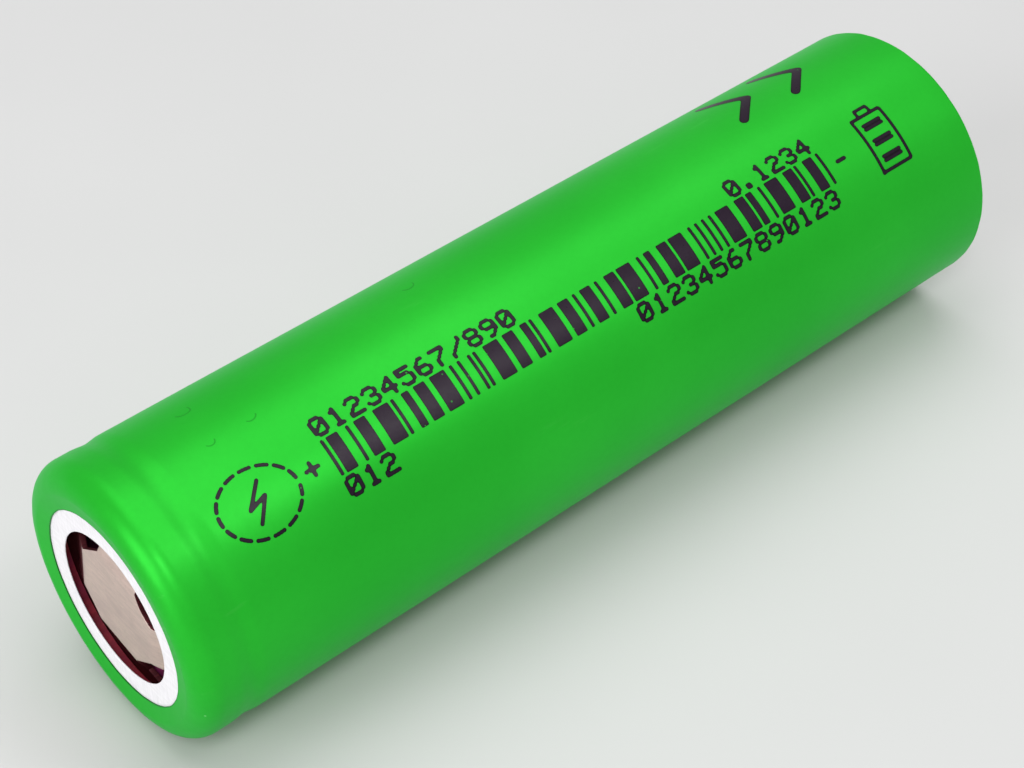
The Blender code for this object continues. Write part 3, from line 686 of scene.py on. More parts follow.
def coating_finish(name, tone, scale, glint):
    """Electrode coating: packed grains of two sizes, with a few bright flakes."""
    coating = Finish(name, Specular_IOR_Level=0.3)
    grains = coating.noise(scale, 4, 0.7)
    coarse = coating.noise(scale / 6, 3)
    base = coating.mix(coating.step(grains, 0.3, 0.7), darker(tone, 0.6), darker(tone, 1.4))
    flakes = coating.specks(scale / 2, 0.2, 0.15)
    base = coating.mix(flakes * glint, base, linear(120, 120, 125))
    return coating.paint(
        Base_Color=base,
        Roughness=0.75 + 0.15 * coarse,
        Normal=coating.bump(grains + coarse, 0.01 * MM, 0.8),
    )


def plastic_finish(name, tone, roughness, streak):
    """Plastic or film with a faint streak along X and fine grain."""
    plastic = Finish(name, Specular_IOR_Level=0.4)
    streaks = plastic.noise(1, 3, 0.6, plastic.stretched((streak, 1400, 1400)))
    grain = plastic.noise(3600, 2)
    base = plastic.mix(plastic.step(streaks, 0.3, 0.7), darker(tone, 0.88), tone)
    base = plastic.mix(plastic.step(grain, 0.55, 0.8) * 0.2, base, darker(tone, 0.75))
    return plastic.paint(
        Base_Color=base,
        Roughness=roughness + 0.15 * streaks,
        Normal=plastic.bump(grain + streaks, 0.004 * MM, 0.6),
    )


# --------------------------------------------------------------------------- sleeve


def smooth_step(value, low, high):
    """0 below low, 1 above high, and 3 s^2 - 2 s^3 of the share s between them."""
    share = np.clip((value - low) / (high - low), 0, 1)
    return share * share * (3 - 2 * share)


def film_radius(x, sizes):
    """Radius of the film along the can.

    It is the full radius, less a raised-cosine dip over the groove and less two faint smooth steps
    towards the positive end.
    """
    away = np.clip((x - DIP_PLACE) / DIP_HALF_WIDTH, -1, 1)
    dip = sizes.film_dip * (1 + np.cos(np.pi * away)) / 2
    recess = RECESS_DEPTH * smooth_step(x, RECESS_START, RECESS_FULL)
    crimp = CRIMP_STEP * smooth_step(x, DIP_PLACE, DIP_PLACE + DIP_HALF_WIDTH)
    return SLEEVE_RADIUS - dip - recess - crimp


def film_swell(x, turn):
    """Unevenness of the film: three slow waves round and along it, lowered by more than they rise."""
    waves = np.sin(3 * turn + 260 * x) + np.sin(5 * turn - 190 * x + 1) + np.sin(2 * turn + 420 * x + 2)
    return WAVE_HEIGHT * waves - WAVE_SINK


def lip_pucker(x, turn):
    """Film swell, with small gathers of the film where it turns in at either end."""
    gathers = np.sin(17 * turn) + 0.7 * np.sin(29 * turn + 1.3) + 0.5 * np.sin(43 * turn + 0.4)
    near_end = smooth_step(np.abs(x), GATHER_START, GATHER_FULL)
    return film_swell(x, turn) + GATHER_HEIGHT * gathers * near_end


def film_path(sizes):
    """Outside of the film from the lip round the positive corner, along the can, to the negative opening."""
    top, bottom = SLEEVE_TOP_CORNER, SLEEVE_BOTTOM_CORNER
    shoulder = POSITIVE_END - top
    foot = NEGATIVE_END + bottom
    x = np.concatenate([np.linspace(shoulder, FINE_ROWS_END, 78), np.linspace(PLAIN_ROWS_START, foot, 40)])
    centre = (shoulder, film_radius(shoulder, sizes) - top)
    lip = line((POSITIVE_END - LIP_DROP, sizes.lip_opening), (POSITIVE_END, centre[1]), 12)
    corner = arc(centre, top, 0, 90, 28)
    body = np.stack([x, film_radius(x, sizes)], -1)
    tail = arc((foot, SLEEVE_RADIUS - bottom), bottom, 90, 180, 14)
    end = line((NEGATIVE_END, SLEEVE_RADIUS - bottom), (NEGATIVE_END, sizes.tail_opening), 8)
    return distinct(np.concatenate([lip, corner, body, tail, end]))


def on_film(x, turn, height, sizes):
    """Point on the film's outside, raised by height."""
    return placed(x, film_radius(x, sizes) + film_swell(x, turn) + height, turn)


class CELL_OT_shrink_sleeve(bpy.types.Operator):
    """Build the shrink sleeve with its lips, groove dip and corners"""

    bl_idname = "cell.shrink_sleeve"
    bl_label = "Shrink sleeve"

    def execute(self, context):
        sizes = context.scene.cell_sizes
        outside = film_path(sizes)
        inside = offset(outside, sizes.sleeve_wall)
        opening = sizes.lip_opening
        near_cut = 1 - smooth_step(outside[:, 1], opening, opening + LIP_TAPER)
        inside[:, 0] += LIP_THINNING * near_cut * (outside[:, 0] > 0)
        loop = np.concatenate([outside, inside[::-1]])
        points, faces = turned(loop, lip_pucker)
        count = len(outside)
        # Painted shadow: the rows at the film's cut edges are marked for darkening in the film's finish.
        cut = np.zeros(2 * count)
        cut[[0, count - 1, count, -1]] = 1
        finish = film_finish(context.scene.cell_colours)
        marks = {"cut_edge": np.repeat(cut, COLUMNS)}
        piece = new_piece("sleeve_film", points, faces, finish, marks=marks)
        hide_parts("shrink_sleeve")
        return {"FINISHED"}


# --------------------------------------------------------------------------- print


def cut_patch(field, across, along):
    """Cuts the part of a flat grid where the field is above zero, with straight cuts inside its triangles.

    A triangle whose corners are all inside stays. One with a single corner inside keeps that corner, and
    one with a single corner outside loses it; the cut runs between the points where the field, taken as
    linear along an edge, is zero. Returns points, the field at each, triangles and the rim's segments.
    """
    field = np.where(np.abs(field) < 1e-9, 1e-9, field)
    rows, columns = field.shape
    count = rows * columns
    index = np.arange(count).reshape(rows, columns)
    a, b, c, d = index[:-1, :-1], index[:-1, 1:], index[1:, 1:], index[1:, :-1]
    triangles = np.concatenate([np.stack(t, -1).reshape(-1, 3) for t in ((a, b, c), (a, c, d))])
    values = field.ravel()
    u, v = np.meshgrid(across, along)
    flat = np.stack([u.ravel(), v.ravel()], -1)
    inside = values[triangles] > 0
    number = inside.sum(1)

    def turned_to(chosen, wanted):
        """The chosen triangles, rolled so that the corner that differs comes first."""
        picked = triangles[chosen]
        first = np.argmax(inside[chosen] == wanted, axis=1)
        order = (first[:, None] + np.arange(3)) % 3
        return np.take_along_axis(picked, order, axis=1)

    def edge_key(p, q):
        """A number for the edge between two grid points, the same from either side."""
        return count + np.minimum(p, q) * count + np.maximum(p, q)

    whole = triangles[number == 3]
    single = turned_to(number == 1, True)
    double = turned_to(number == 2, False)
    single_cuts = edge_key(single[:, 0], single[:, 1]), edge_key(single[:, 0], single[:, 2])
    double_cuts = edge_key(double[:, 0], double[:, 1]), edge_key(double[:, 0], double[:, 2])
    faces = [
        whole,
        np.stack([single[:, 0], *single_cuts], -1),
        np.stack([double_cuts[0], double[:, 1], double[:, 2]], -1),
        np.stack([double_cuts[0], double[:, 2], double_cuts[1]], -1),
    ]
    rim = np.concatenate([np.stack(single_cuts, -1), np.stack(double_cuts[::-1], -1)])
    faces = np.concatenate(faces)
    keys, numbered = np.unique(faces, return_inverse=True)
    on_edge = keys >= count
    low, high = np.divmod(keys - count, count)
    low, high = np.where(on_edge, low, keys), np.where(on_edge, high, keys)
    share = np.where(on_edge, values[low] / np.where(on_edge, values[low] - values[high], 1), 0)[:, None]
    points = flat[low] + share * (flat[high] - flat[low])
    depth = np.where(on_edge, 0, values[low])
    return points, depth, numbered.reshape(faces.shape), np.searchsorted(keys, rim)


def inked(patch, start_x, angle, sizes):
    """A cut patch laid on the film and given a thickness.

    Its first coordinate runs towards the negative end from start_x, and its second up from the line at
    the given angle. The top is a copy of the patch above the film, the bottom one inside it, and a wall
    joins their rims.
    """
    flat, depth, triangles, rim = patch
    x = start_x - flat[:, 0]
    turn = math.radians(90 - angle) + flat[:, 1] / SLEEVE_RADIUS
    points = np.concatenate([on_film(x, turn, INK_HEIGHT, sizes), on_film(x, turn, -INK_ROOT, sizes)])
    count = len(flat)
    near, far = rim[:, 1], rim[:, 0]
    walls = np.concatenate(
        [np.stack([near, far, far + count], -1), np.stack([near, far + count, near + count], -1)]
    )
    faces = np.concatenate([triangles, triangles[:, ::-1] + count, walls])
    return points, faces, np.tile(depth, 2)


def print_piece(name, layers, finish):
    """One piece from several inked patches."""
    starts = np.cumsum([0] + [len(points) for points, _, _ in layers[:-1]])
    points = np.concatenate([points for points, _, _ in layers])
    faces = np.concatenate([faces + start for (_, faces, _), start in zip(layers, starts)])
    depth = np.concatenate([depth for _, _, depth in layers])
    return new_piece(name, points, faces, finish, 30, {"ink_depth": depth})


def scaled_depth(patch, full):
    """The patch with its field turned into a share of the depth at which the ink is full."""
    points, depth, faces, rim = patch
    return points, np.clip(depth / full, 0, 1), faces, rim


def dot_patch(dots, reach, step=PRINT_STEP):
    """Patch of merged dots, with its field as a share of the depth at which the ink is full.

    The field is the sum of exp(-d^2 / 2 s^2) over the dots, less the level of a dot's own edge.
    """
    margin = 2.2 * reach
    low, high = dots.min(0) - margin, dots.max(0) + margin
    across = np.arange(low[0], high[0] + step, step)
    along = np.arange(low[1], high[1] + step, step)
    spread = 0.72 * reach
    wide = np.exp(-((across[None, :] - dots[:, :1]) ** 2) / (2 * spread**2))
    tall = np.exp(-((along[None, :] - dots[:, 1:]) ** 2) / (2 * spread**2))
    level = math.exp(-(reach**2) / (2 * spread**2))
    return scaled_depth(cut_patch(tall.T @ wide - level, across, along), DOT_FULL_INK)


def type_dots(text):
    """Centres of the dots of a line of digits, five columns by seven rows each, from its left end."""
    found = []
    for place, sign in enumerate(text):
        rows = DIGITS[sign].split()
        bits = np.array([[bit == "1" for bit in row] for row in rows])
        row, column = np.nonzero(bits)
        u = place * DIGIT_PITCH + column * DOT_COLUMN
        found.append(np.stack([u, (3 - row) * DOT_ROW], -1))
    return np.concatenate(found)


def stroke(corners, pitch):
    """Dots at an even pitch along the straight lines between corners."""
    corners = np.array(corners) * MM
    reach = np.concatenate([[0], np.cumsum(np.linalg.norm(np.diff(corners, axis=0), axis=1))])
    count = max(2, round(reach[-1] / pitch) + 1)
    where = np.linspace(0, reach[-1], count)
    return np.stack([np.interp(where, reach, corners[:, i]) for i in range(2)], -1)


def bar_patch():
    """Upright bars with rounded corners.

    The widths are 0.75 to 3.75 modules in steps of one, and the gaps 0.62 to 1.86 in steps of 0.62, by
    the remainders of a counting formula. The field is the distance inwards from the edge of the nearest
    bar, whose corners are round.
    """
    order = np.arange(200)
    widths = BAR_MODULE * (0.75 + (order * order * 7 + order * 5) % 19 % 5 % 4)
    gaps = BAR_MODULE * (0.62 + 0.62 * ((order * 7 + order * order) % 11 % 3))
    starts = np.concatenate([[0], np.cumsum(widths + gaps)[:-1]])
    span = BAR_START - BAR_END
    kept = starts + widths < span
    starts, widths = starts[kept], widths[kept]
    stretch = span / (starts[-1] + widths[-1])
    centres, halves = (starts + widths / 2) * stretch, widths * stretch / 2
    across = np.arange(-BAR_MARGIN, span + BAR_MARGIN, BAR_GRID_STEP)
    along = np.linspace(-BAR_HEIGHT / 2 - BAR_MARGIN, BAR_HEIGHT / 2 + BAR_MARGIN, 39)
    nearest = np.abs(across[:, None] - centres[None, :]) - halves[None, :]
    pick = nearest.argmin(1)
    beside = nearest[np.arange(len(across)), pick][None, :]
    above = (np.abs(along) - BAR_HEIGHT / 2)[:, None]
    outside = np.hypot(np.maximum(beside + BAR_CORNER, 0), np.maximum(above + BAR_CORNER, 0))
    inside = np.minimum(np.maximum(beside, above) + BAR_CORNER, 0)
    return scaled_depth(cut_patch(BAR_CORNER - outside - inside, across, along), INK_EDGE)


class CELL_OT_print(bpy.types.Operator):
    """Print the bars, digits and marks on the sleeve"""

    bl_idname = "cell.print"
    bl_label = "Print"

    def execute(self, context):
        sizes = context.scene.cell_sizes
        ink = ink_finish(context.scene.cell_colours)
        print_piece("bar_print", [inked(bar_patch(), BAR_START, PRINT_ANGLE, sizes)], ink)
        layers = [
            inked(dot_patch(type_dots(text), DOT_REACH), start, angle, sizes)
            for text, start, angle in DIGIT_ROWS
        ]
        print_piece("digit_print", layers, ink)
        self.print_marks(sizes, ink)
        return {"FINISHED"}

    def print_marks(self, sizes, ink):
        """The ringed bolt, the signs of the poles, the battery outline and the two chevrons."""
        number = np.arange(RING_DOTS)
        turn = 2 * np.pi * number / RING_DOTS
        ring = np.stack([RING_HALF_LENGTH * np.cos(turn), RING_HALF_HEIGHT * np.sin(turn)], -1)
        ring = ring[number % DASH_DOTS > 0]
        bolt = stroke([(0.55, 1.15), (-0.75, -0.2), (0.5, 0.2), (-0.55, -1.15)], MARK_PITCH)
        mark = dot_patch(np.concatenate([ring, bolt]), MARK_REACH)
        print_piece("bolt_mark", [inked(mark, BOLT_MARK_PLACE, BOLT_MARK_ANGLE, sizes)], ink)
        plus = [stroke([(-0.42, 0), (0.42, 0)], SIGN_PITCH), stroke([(0, -0.40), (0, 0.40)], SIGN_PITCH)]
        minus = stroke([(-0.34, 0), (0.34, 0)], MINUS_PITCH)
        layers = [
            inked(dot_patch(np.concatenate(plus), MARK_REACH), PLUS_PLACE, PRINT_ANGLE, sizes),
            inked(dot_patch(minus, MARK_REACH), MINUS_PLACE, PRINT_ANGLE, sizes),
        ]
        print_piece("polarity_marks", layers, ink)
        outline = stroke([(-1.3, -2.2), (1.3, -2.2), (1.3, 1.8), (-1.3, 1.8), (-1.3, -2.2)], MARK_PITCH)
        knob = stroke([(-0.55, 2.0), (-0.55, 2.35), (0.55, 2.35), (0.55, 2.0)], MARK_PITCH)
        heights = (-1.55, -1.25, -0.35, -0.05, 0.85, 1.15)
        levels = [stroke([(-0.75, v), (0.75, v)], SIGN_PITCH) for v in heights]
        symbol = dot_patch(np.concatenate([outline, knob, *levels]), MARK_REACH)
        print_piece("battery_mark", [inked(symbol, BATTERY_MARK_PLACE, PRINT_ANGLE, sizes)], ink)
        chevrons = [
            stroke([(u - 1.2, 2.25), (u + 1.2, 0), (u - 1.2, -2.25)], CHEVRON_PITCH) for u in (-2.4, 2.4)
        ]
        arrows = dot_patch(np.concatenate(chevrons), CHEVRON_REACH, CHEVRON_STEP)
        print_piece("chevron_mark", [inked(arrows, CHEVRON_PLACE, CHEVRON_ANGLE, sizes)], ink)


# --------------------------------------------------------------------------- positive end


def pressed_ring(low_x, high_x, hole, radius, corner):
    """Closed loop (x, r) of a flat ring with rounded edges, whose underside rises towards the hole."""
    edge = high_x - WASHER_EDGE
    return np.concatenate(
        [
            arc((high_x - corner, radius - corner), corner, 0, 90, 6),
            arc((low_x + corner, radius - corner), corner, 90, 180, 6),
            line((low_x, radius - corner), (low_x, hole + WASHER_TAPER), 8)[1:],
            line((low_x, hole + WASHER_TAPER), (edge, hole + corner), 8)[1:],
            arc((high_x - corner, hole + corner), corner, 250, 360, 6),
            line((high_x, hole + corner), (high_x, radius - corner), 24)[1:-1],
        ]
    )


class CELL_OT_washer(bpy.types.Operator):
    """Build the white fibre washer"""

    bl_idname = "cell.washer"
    bl_label = "Positive washer"

    def execute(self, context):
        sizes = context.scene.cell_sizes
        radius = (WASHER_HIGH.z - WASHER_LOW.z) / 2
        loop = pressed_ring(WASHER_LOW.x, WASHER_HIGH.x, sizes.washer_hole, radius, WASHER_CORNER)

        def cut_edge(x, turn):
            """Slight unevenness of the punched edges: four waves of a few micrometres."""
            waves = np.sin(7 * turn) + np.sin(19 * turn + 2) + np.sin(31 * turn + 1) + np.sin(53 * turn)
            return 0.0025 * MM * waves + 0 * x

        points, faces = turned(loop, cut_edge)
        piece = new_piece("washer_ring", points, faces, fibre_finish(context.scene.cell_colours))
        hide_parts("positive_washer")
        return {"FINISHED"}


def softened_ramp(share, bend):
    """0 before share 0, 1 after share 1 and straight between, with both bends softened over bend."""
    return bend * (np.logaddexp(0, share / bend) - np.logaddexp(0, (share - 1) / bend))


def cap_outlines(sizes, leg_columns, window_columns):
    """The contact's edge and the slope's foot, as matching points for the columns of the cap's grid.

    A quarter turn holds one leg, whose sides are parallel, and one window. Over the leg both outlines are
    straight. Over the window the contact's edge is a chamfer, bowed inwards by that window's share in
    WINDOW_CUTS, and the foot follows the window's outer side with its two corners.
    """
    near, side = sizes.contact_half_width, sizes.leg_half_width
    far, corner = CAP_SLOPE_END, CAP_WINDOW_CORNER
    across = np.linspace(-side, side, leg_columns, endpoint=False)
    leg_edge = np.stack([np.full(leg_columns, near), across], -1)
    leg_foot = np.stack([np.full(leg_columns, far), across], -1)
    share = np.linspace(0, 1, window_columns, endpoint=False)
    edge = np.array([(near, side), (side, near)])
    foot = np.array([(far, side), (far, corner), (corner, far), (side, far)])
    reach = np.concatenate([[0], np.cumsum(np.linalg.norm(np.diff(foot, axis=0), axis=1))])
    window_edge = edge[0] + share[:, None] * (edge[1] - edge[0])
    bulge = (1 - (2 * share - 1) ** 2)[:, None]
    window_foot = np.stack([np.interp(share * reach[-1], reach, foot[:, i]) for i in range(2)], -1)
    inner = [np.concatenate([leg_edge, window_edge * (1 - cut * bulge)]) for cut in WINDOW_CUTS]
    outer = [np.concatenate([leg_foot, window_foot])] * 4
    angles = CAP_TURN + np.arange(4) * np.pi / 2
    turns = np.array([[[math.cos(a), math.sin(a)], [-math.sin(a), math.cos(a)]] for a in angles])
    return [np.einsum("kni,kij->knj", loops, turns).reshape(-1, 2) for loops in (inner, outer)]


class CELL_OT_positive_cap(bpy.types.Operator):
    """Build the pressed cap with its square contact, four legs and four vent windows"""

    bl_idname = "cell.positive_cap"
    bl_label = "Positive cap"

    def execute(self, context):
        sizes = context.scene.cell_sizes
        edge, foot = cap_outlines(sizes, LEG_COLUMNS, WINDOW_COLUMNS)
        radius = (CAP_HIGH.z - CAP_LOW.z) / 2
        rim = foot / np.linalg.norm(foot, axis=1, keepdims=True) * radius
        hub_share = np.linspace(CAP_HUB_SHARE, 1, CONTACT_ROWS)
        contact = hub_share[:, None, None] * edge
        slope_share = np.linspace(0, 1, SLOPE_ROWS + 1)[1:]
        slope = edge + slope_share[:, None, None] * (foot - edge)
        flange_share = np.linspace(0, 1, FLANGE_ROWS + 1)[1:]
        flange = foot + flange_share[:, None, None] * (rim - foot)
        grid = np.concatenate([contact, slope, flange])
        contact_share = (hub_share - 1) * sizes.contact_half_width
        contact_share = contact_share / (CAP_SLOPE_END - sizes.contact_half_width)
        share = np.concatenate([contact_share, slope_share, 1 + 2 * flange_share])
        fall = softened_ramp(share, CAP_BEND)
        top, low = CAP_HIGH.x, CAP_LOW.x + sizes.cap_sheet
        height = np.broadcast_to((top - fall * (top - low))[:, None], grid.shape[:2])
        from_middle = np.linalg.norm(grid, axis=-1) / sizes.contact_half_width
        crown = CAP_CROWN * np.clip(from_middle, 0, 1) ** 2
        points = np.stack([height - crown, grid[..., 0], AXIS_Z + grid[..., 1]], -1)
        rows, columns = grid.shape[:2]
        faces = grid_faces(rows, columns, False).reshape(rows - 1, columns, 4)
        is_window = np.arange(columns) % (LEG_COLUMNS + WINDOW_COLUMNS) >= LEG_COLUMNS
        slope_row = np.arange(rows - 1) - (CONTACT_ROWS - 1)
        is_slope = (slope_row >= 0) & (slope_row < SLOPE_ROWS)
        kept = faces[~(is_slope[:, None] & is_window[None, :])]
        points = points.reshape(-1, 3)
        centre = len(points)
        first = np.arange(columns)
        hub = np.stack([np.full(columns, centre), first, np.roll(first, -1)], -1)
        points = np.concatenate([points, [(top, 0, AXIS_Z)]])
        faces = np.concatenate([kept[:, [0, 3, 2]], kept[:, [0, 2, 1]], hub])
        depth = np.append(np.broadcast_to(fall[:, None], grid.shape[:2]).ravel(), 0)
        away = np.append(np.arctan2(grid[..., 1], grid[..., 0]).ravel(), 0)
        # Painted shade: darker with depth below the contact and towards the turn of 218 degrees, where the
        # cavity under the washer lies in shade.
        shade = (0.5 + 0.5 * np.cos(away - PAINTED_SHADE_TURN)) ** 0.7
        painted_shade = smooth_step(depth, 0.04, 0.16) * smooth_step(shade, 0.35, 0.75)
        finish = contact_finish(context.scene.cell_colours)
        used, numbered = np.unique(faces, return_inverse=True)
        faces = numbered.reshape(faces.shape)
        piece = new_piece("cap_contact", points[used], faces, finish, 40, {"painted_shade": painted_shade[used]})
        piece.data.materials.append(edge_finish(context.scene.cell_colours))
        wall = piece.modifiers.new("sheet", "SOLIDIFY")
        wall.thickness = sizes.cap_sheet
        wall.offset = -1
        wall.material_offset_rim = 1
        edges = piece.modifiers.new("sheared_edge", "BEVEL")
        edges.width = CAP_EDGE_ROUND
        edges.segments = 2
        edges.angle_limit = math.radians(50)
        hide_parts("positive_cap")
        return {"FINISHED"}


class CELL_OT_vent_disc(bpy.types.Operator):
    """Build the scored burst disc under the cap"""

    bl_idname = "cell.vent_disc"
    bl_label = "Vent disc"

    def execute(self, context):
        sizes = context.scene.cell_sizes
        top, radius = VENT_HIGH.x, (VENT_HIGH.z - VENT_LOW.z) / 2
        drop = (VENT_HIGH.x - VENT_LOW.x) - sizes.vent_sheet
        dish, border = np.linspace(0, VENT_DISH_RADIUS, 30), np.linspace(VENT_DISH_RADIUS, radius, 60)
        r = np.concatenate([dish, border[1:]])
        fall = drop * (1 - smooth_step(r, VENT_WELD_RADIUS, VENT_DISH_RADIUS))
        score = VENT_SCORE_DEPTH * np.clip(1 - np.abs(r - VENT_SCORE_RADIUS) / VENT_SCORE_HALF_WIDTH, 0, 1)
        above = np.stack([top - fall - score, r], -1)
        below = np.stack([top - fall - sizes.vent_sheet, r], -1)
        points, faces = turned_solid(np.concatenate([above, below[::-1]]))
        piece = new_piece("vent_plate", points, faces, vent_finish(context.scene.cell_colours))
        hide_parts("vent_disc")
        return {"FINISHED"}


# --------------------------------------------------------------------------- can


def can_path(sizes):
    """Outside of the can, from the crimp's edge through the groove to the middle of the bottom."""
    crimp_top, bottom = CAN_HIGH.x, CAN_LOW.x
    shoulder = crimp_top - CRIMP_RADIUS
    corner = CAN_BOTTOM_CORNER
    rim = bottom + CAN_RIM_HEIGHT
    foot = rim + corner
    fine = np.linspace(shoulder, CAN_FINE_ROWS_END, 60)
    x = np.concatenate([fine, np.linspace(CAN_PLAIN_ROWS_START, foot, 40)])
    away = np.clip((x - sizes.groove_place) / sizes.groove_half_width, -1, 1)
    body = np.stack([x, CAN_RADIUS - sizes.groove_depth * (1 + np.cos(np.pi * away)) / 2], -1)
    r = np.linspace(CAN_LAND_RADIUS + CAN_RIM_HEIGHT, 0, 40)
    land_end = CAN_LAND_RADIUS + CAN_RIM_HEIGHT
    rise = CAN_RIM_HEIGHT * smooth_step(r, CAN_LAND_RADIUS - CAN_LAND_EDGE, land_end)
    weld = WELD_MARK_DEPTH * (1 - smooth_step(r, 0.7 * WELD_MARK_RADIUS, WELD_MARK_RADIUS))
    base = np.stack([bottom + rise + weld, r], -1)
    return distinct(
        np.concatenate(
            [
                line((crimp_top, CRIMP_OPENING), (crimp_top, CAN_RADIUS - CRIMP_RADIUS), 6),
                arc((shoulder, CAN_RADIUS - CRIMP_RADIUS), CRIMP_RADIUS, 0, 90, 16),
                body,
                arc((foot, CAN_RADIUS - corner), corner, 90, 180, 10),
                line((rim, CAN_RADIUS - corner), (rim, CAN_LAND_RADIUS + CAN_RIM_HEIGHT), 6),
                base,
            ]
        )
    )


class CELL_OT_steel_can(bpy.types.Operator):
    """Build the drawn steel can with its crimp, groove and bare bottom"""

    bl_idname = "cell.steel_can"
    bl_label = "Steel can"

    def execute(self, context):
        sizes = context.scene.cell_sizes
        outside = can_path(sizes)
        inside = offset(outside, sizes.can_wall)
        inside[-1] = (outside[-1, 0] + sizes.can_wall, 0)
        path = np.concatenate([outside[::-1], inside])
        points, faces = turned_solid(path)
        piece = new_piece("can_shell", points, faces, plate_finish(context.scene.cell_colours))
        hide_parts("steel_can")
        return {"FINISHED"}


# --------------------------------------------------------------------------- inside


class CELL_OT_inner_finishes(bpy.types.Operator):
    """Give the seal, interrupter, boards, winding and tabs their finishes"""

    bl_idname = "cell.inner_finishes"
    bl_label = "Inner finishes"

    def execute(self, context):
        aluminium = rolled_finish("rolled_aluminium", linear(228, 229, 232), 0.30)
        strip = rolled_finish("nickel_strip", linear(205, 202, 195), 0.28)
        seal = plastic_finish("natural_seal", linear(228, 228, 220), 0.40, 90)
        board = plastic_finish("insulating_board", linear(214, 216, 205), 0.55, 400)
        film = plastic_finish("separator_film", linear(243, 243, 240), 0.50, 60)
        tape = plastic_finish("amber_tape", linear(200, 140, 50), 0.22, 150)
        graphite = coating_finish("graphite_coating", linear(52, 52, 56), 5200, 0.6)
        oxide = coating_finish("oxide_coating", linear(70, 66, 66), 6400, 0.3)
        finishes = {
            "sealing_gasket": sealant_finish(context.scene.cell_colours),
            "cid_spacer": seal,
            "cid_disc": aluminium,
            "cathode_tab": aluminium,
            "anode_tab_inner": strip,
            "anode_tab_outer": strip,
            "top_insulator": board,
            "bottom_insulator": board,
            "separator_inner": film,
            "separator_outer": film,
            "anode_sheet": graphite,
            "cathode_sheet": oxide,
            "winding_tape": tape,
            "cathode_tab_tape": tape,
            "anode_tab_tape": tape,
        }
        for node, finish in finishes.items():
            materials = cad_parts[node].data.materials
            materials.clear()
            materials.append(finish)
        return {"FINISHED"}


# --------------------------------------------------------------------------- stage

VIEW_AZIMUTH = 139.03
VIEW_ELEVATION = 42.91
VIEW_DISTANCE = 151.19 * MM
VIEW_LENS = 82.965
VIEW_SHIFT = (-0.02426, -0.02507)
VIEW_NEAR, VIEW_FAR = 0.01, 10
FLOOR_HALF_SIDE = 1.5
SKY_STRENGTH = 0.42

# Lights: name, direction from the cell, distance and side in metres, and power in watts.
LIGHTS = (
    ("soft_light", (-0.12, -0.20, 0.97), 0.60, 0.60, 2.1),
    ("key_light", (-0.353, 0.43, 0.82), 0.37, 0.10, 0.20),
    ("end_light", (0.93, 0.05, 0.40), 0.50, 0.30, 1.05),
    ("front_light", (0.40, 0.46, 0.80), 0.40, 0.08, 0.33),
)


def area_light(name, direction, distance, side, power):
    """A square white light that faces the middle of the cell."""
    light = bpy.data.lights.new(name, "AREA")
    light.shape = "SQUARE"
    light.size = side
    light.energy = power
    lamp = bpy.data.objects.new(name, light)
    towards = Vector(direction).normalized()
    lamp.location = Vector((0, 0, AXIS_Z)) + towards * distance
    lamp.rotation_mode = "QUATERNION"
    lamp.rotation_quaternion = towards.to_track_quat("Z", "Y")
    bpy.context.scene.collection.objects.link(lamp)


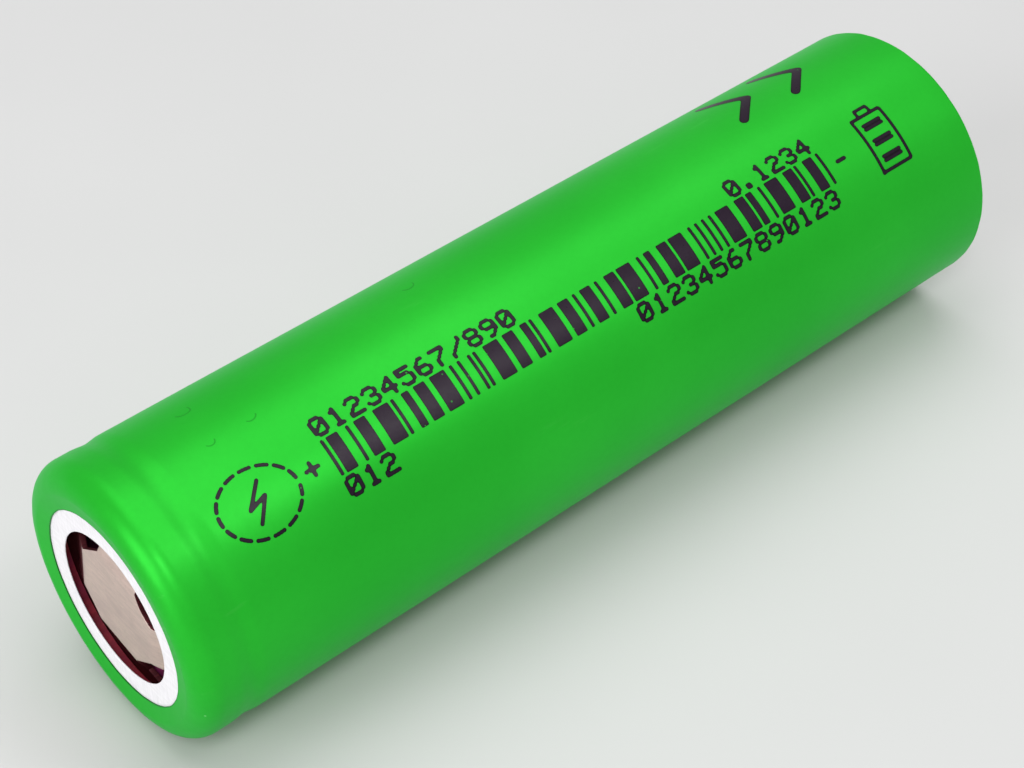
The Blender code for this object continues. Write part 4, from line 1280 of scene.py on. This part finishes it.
class CELL_OT_stage(bpy.types.Operator):
    """Set the floor, the lights and the camera"""

    bl_idname = "cell.stage"
    bl_label = "Stage"

    def execute(self, context):
        scene = context.scene
        half = FLOOR_HALF_SIDE
        corners = np.array([(-half, -half, 0), (half, -half, 0), (half, half, 0), (-half, half, 0)])
        mesh = bpy.data.meshes.new("floor")
        mesh.from_pydata(corners.tolist(), [], [(0, 1, 2, 3)])
        floor = bpy.data.objects.new("floor", mesh)
        scene.collection.objects.link(floor)
        paper = Finish("floor_paper", Specular_IOR_Level=0.2)
        tone = tuple(scene.cell_colours.floor)
        shade = paper.mix(paper.step(paper.noise(40, 2), 0.3, 0.7), darker(tone, 0.985), tone)
        mesh.materials.append(paper.paint(Base_Color=shade, Roughness=0.8))
        world = bpy.data.worlds.new("studio")
        world.use_nodes = True
        sky = world.node_tree.nodes["Background"]
        sky.inputs["Color"].default_value = (1, 1, 1, 1)
        sky.inputs["Strength"].default_value = SKY_STRENGTH
        scene.world = world
        for light in LIGHTS:
            area_light(*light)
        scene.view_settings.view_transform = "Standard"
        self.camera(scene)
        return {"FINISHED"}

    def camera(self, scene):
        """The camera: its azimuth turns from -Y towards +X, and without its shift it faces the cell."""
        azimuth, elevation = math.radians(VIEW_AZIMUTH), math.radians(VIEW_ELEVATION)
        back = Vector(
            (
                math.sin(azimuth) * math.cos(elevation),
                -math.cos(azimuth) * math.cos(elevation),
                math.sin(elevation),
            )
        )
        right = Vector((math.cos(azimuth), math.sin(azimuth), 0))
        up = back.cross(right)
        lens = bpy.data.cameras.new("view")
        lens.lens = VIEW_LENS
        lens.shift_x, lens.shift_y = VIEW_SHIFT
        lens.clip_start, lens.clip_end = VIEW_NEAR, VIEW_FAR
        camera = bpy.data.objects.new("view", lens)
        turn = Matrix((right, up, back)).transposed().to_4x4()
        camera.matrix_world = Matrix.Translation(Vector((0, 0, AXIS_Z)) + back * VIEW_DISTANCE) @ turn
        scene.collection.objects.link(camera)
        scene.camera = camera


# --------------------------------------------------------------------------- add-on


OPERATORS = [
    CELL_OT_shrink_sleeve,
    CELL_OT_print,
    CELL_OT_washer,
    CELL_OT_positive_cap,
    CELL_OT_vent_disc,
    CELL_OT_steel_can,
    CELL_OT_inner_finishes,
    CELL_OT_stage,
]


class CELL_PT_parts(bpy.types.Panel):
    """Sidebar panel with the cell's pieces, sizes and colours"""

    bl_idname = "CELL_PT_parts"
    bl_label = "Cylindrical cell"
    bl_space_type = "VIEW_3D"
    bl_region_type = "UI"
    bl_category = "Cell"

    def draw(self, context):
        for operator in OPERATORS:
            self.layout.operator(operator.bl_idname)
        for settings in (context.scene.cell_sizes, context.scene.cell_colours):
            for name in settings.bl_rna.properties.keys():
                if name not in ("rna_type", "name"):
                    self.layout.prop(settings, name)


CLASSES = [CellSizes, CellColours, *OPERATORS, CELL_PT_parts]


def register():
    for made in CLASSES:
        bpy.utils.register_class(made)
    bpy.types.Scene.cell_sizes = bpy.props.PointerProperty(type=CellSizes)
    bpy.types.Scene.cell_colours = bpy.props.PointerProperty(type=CellColours)


def unregister():
    del bpy.types.Scene.cell_colours
    del bpy.types.Scene.cell_sizes
    for made in reversed(CLASSES):
        bpy.utils.unregister_class(made)


def main():
    """Builds everything in order."""
    register()
    bpy.ops.cell.shrink_sleeve()
    bpy.ops.cell.print()
    bpy.ops.cell.washer()
    bpy.ops.cell.positive_cap()
    bpy.ops.cell.vent_disc()
    bpy.ops.cell.steel_can()
    bpy.ops.cell.inner_finishes()
    bpy.ops.cell.stage()


if __name__ == "__main__":
    main()
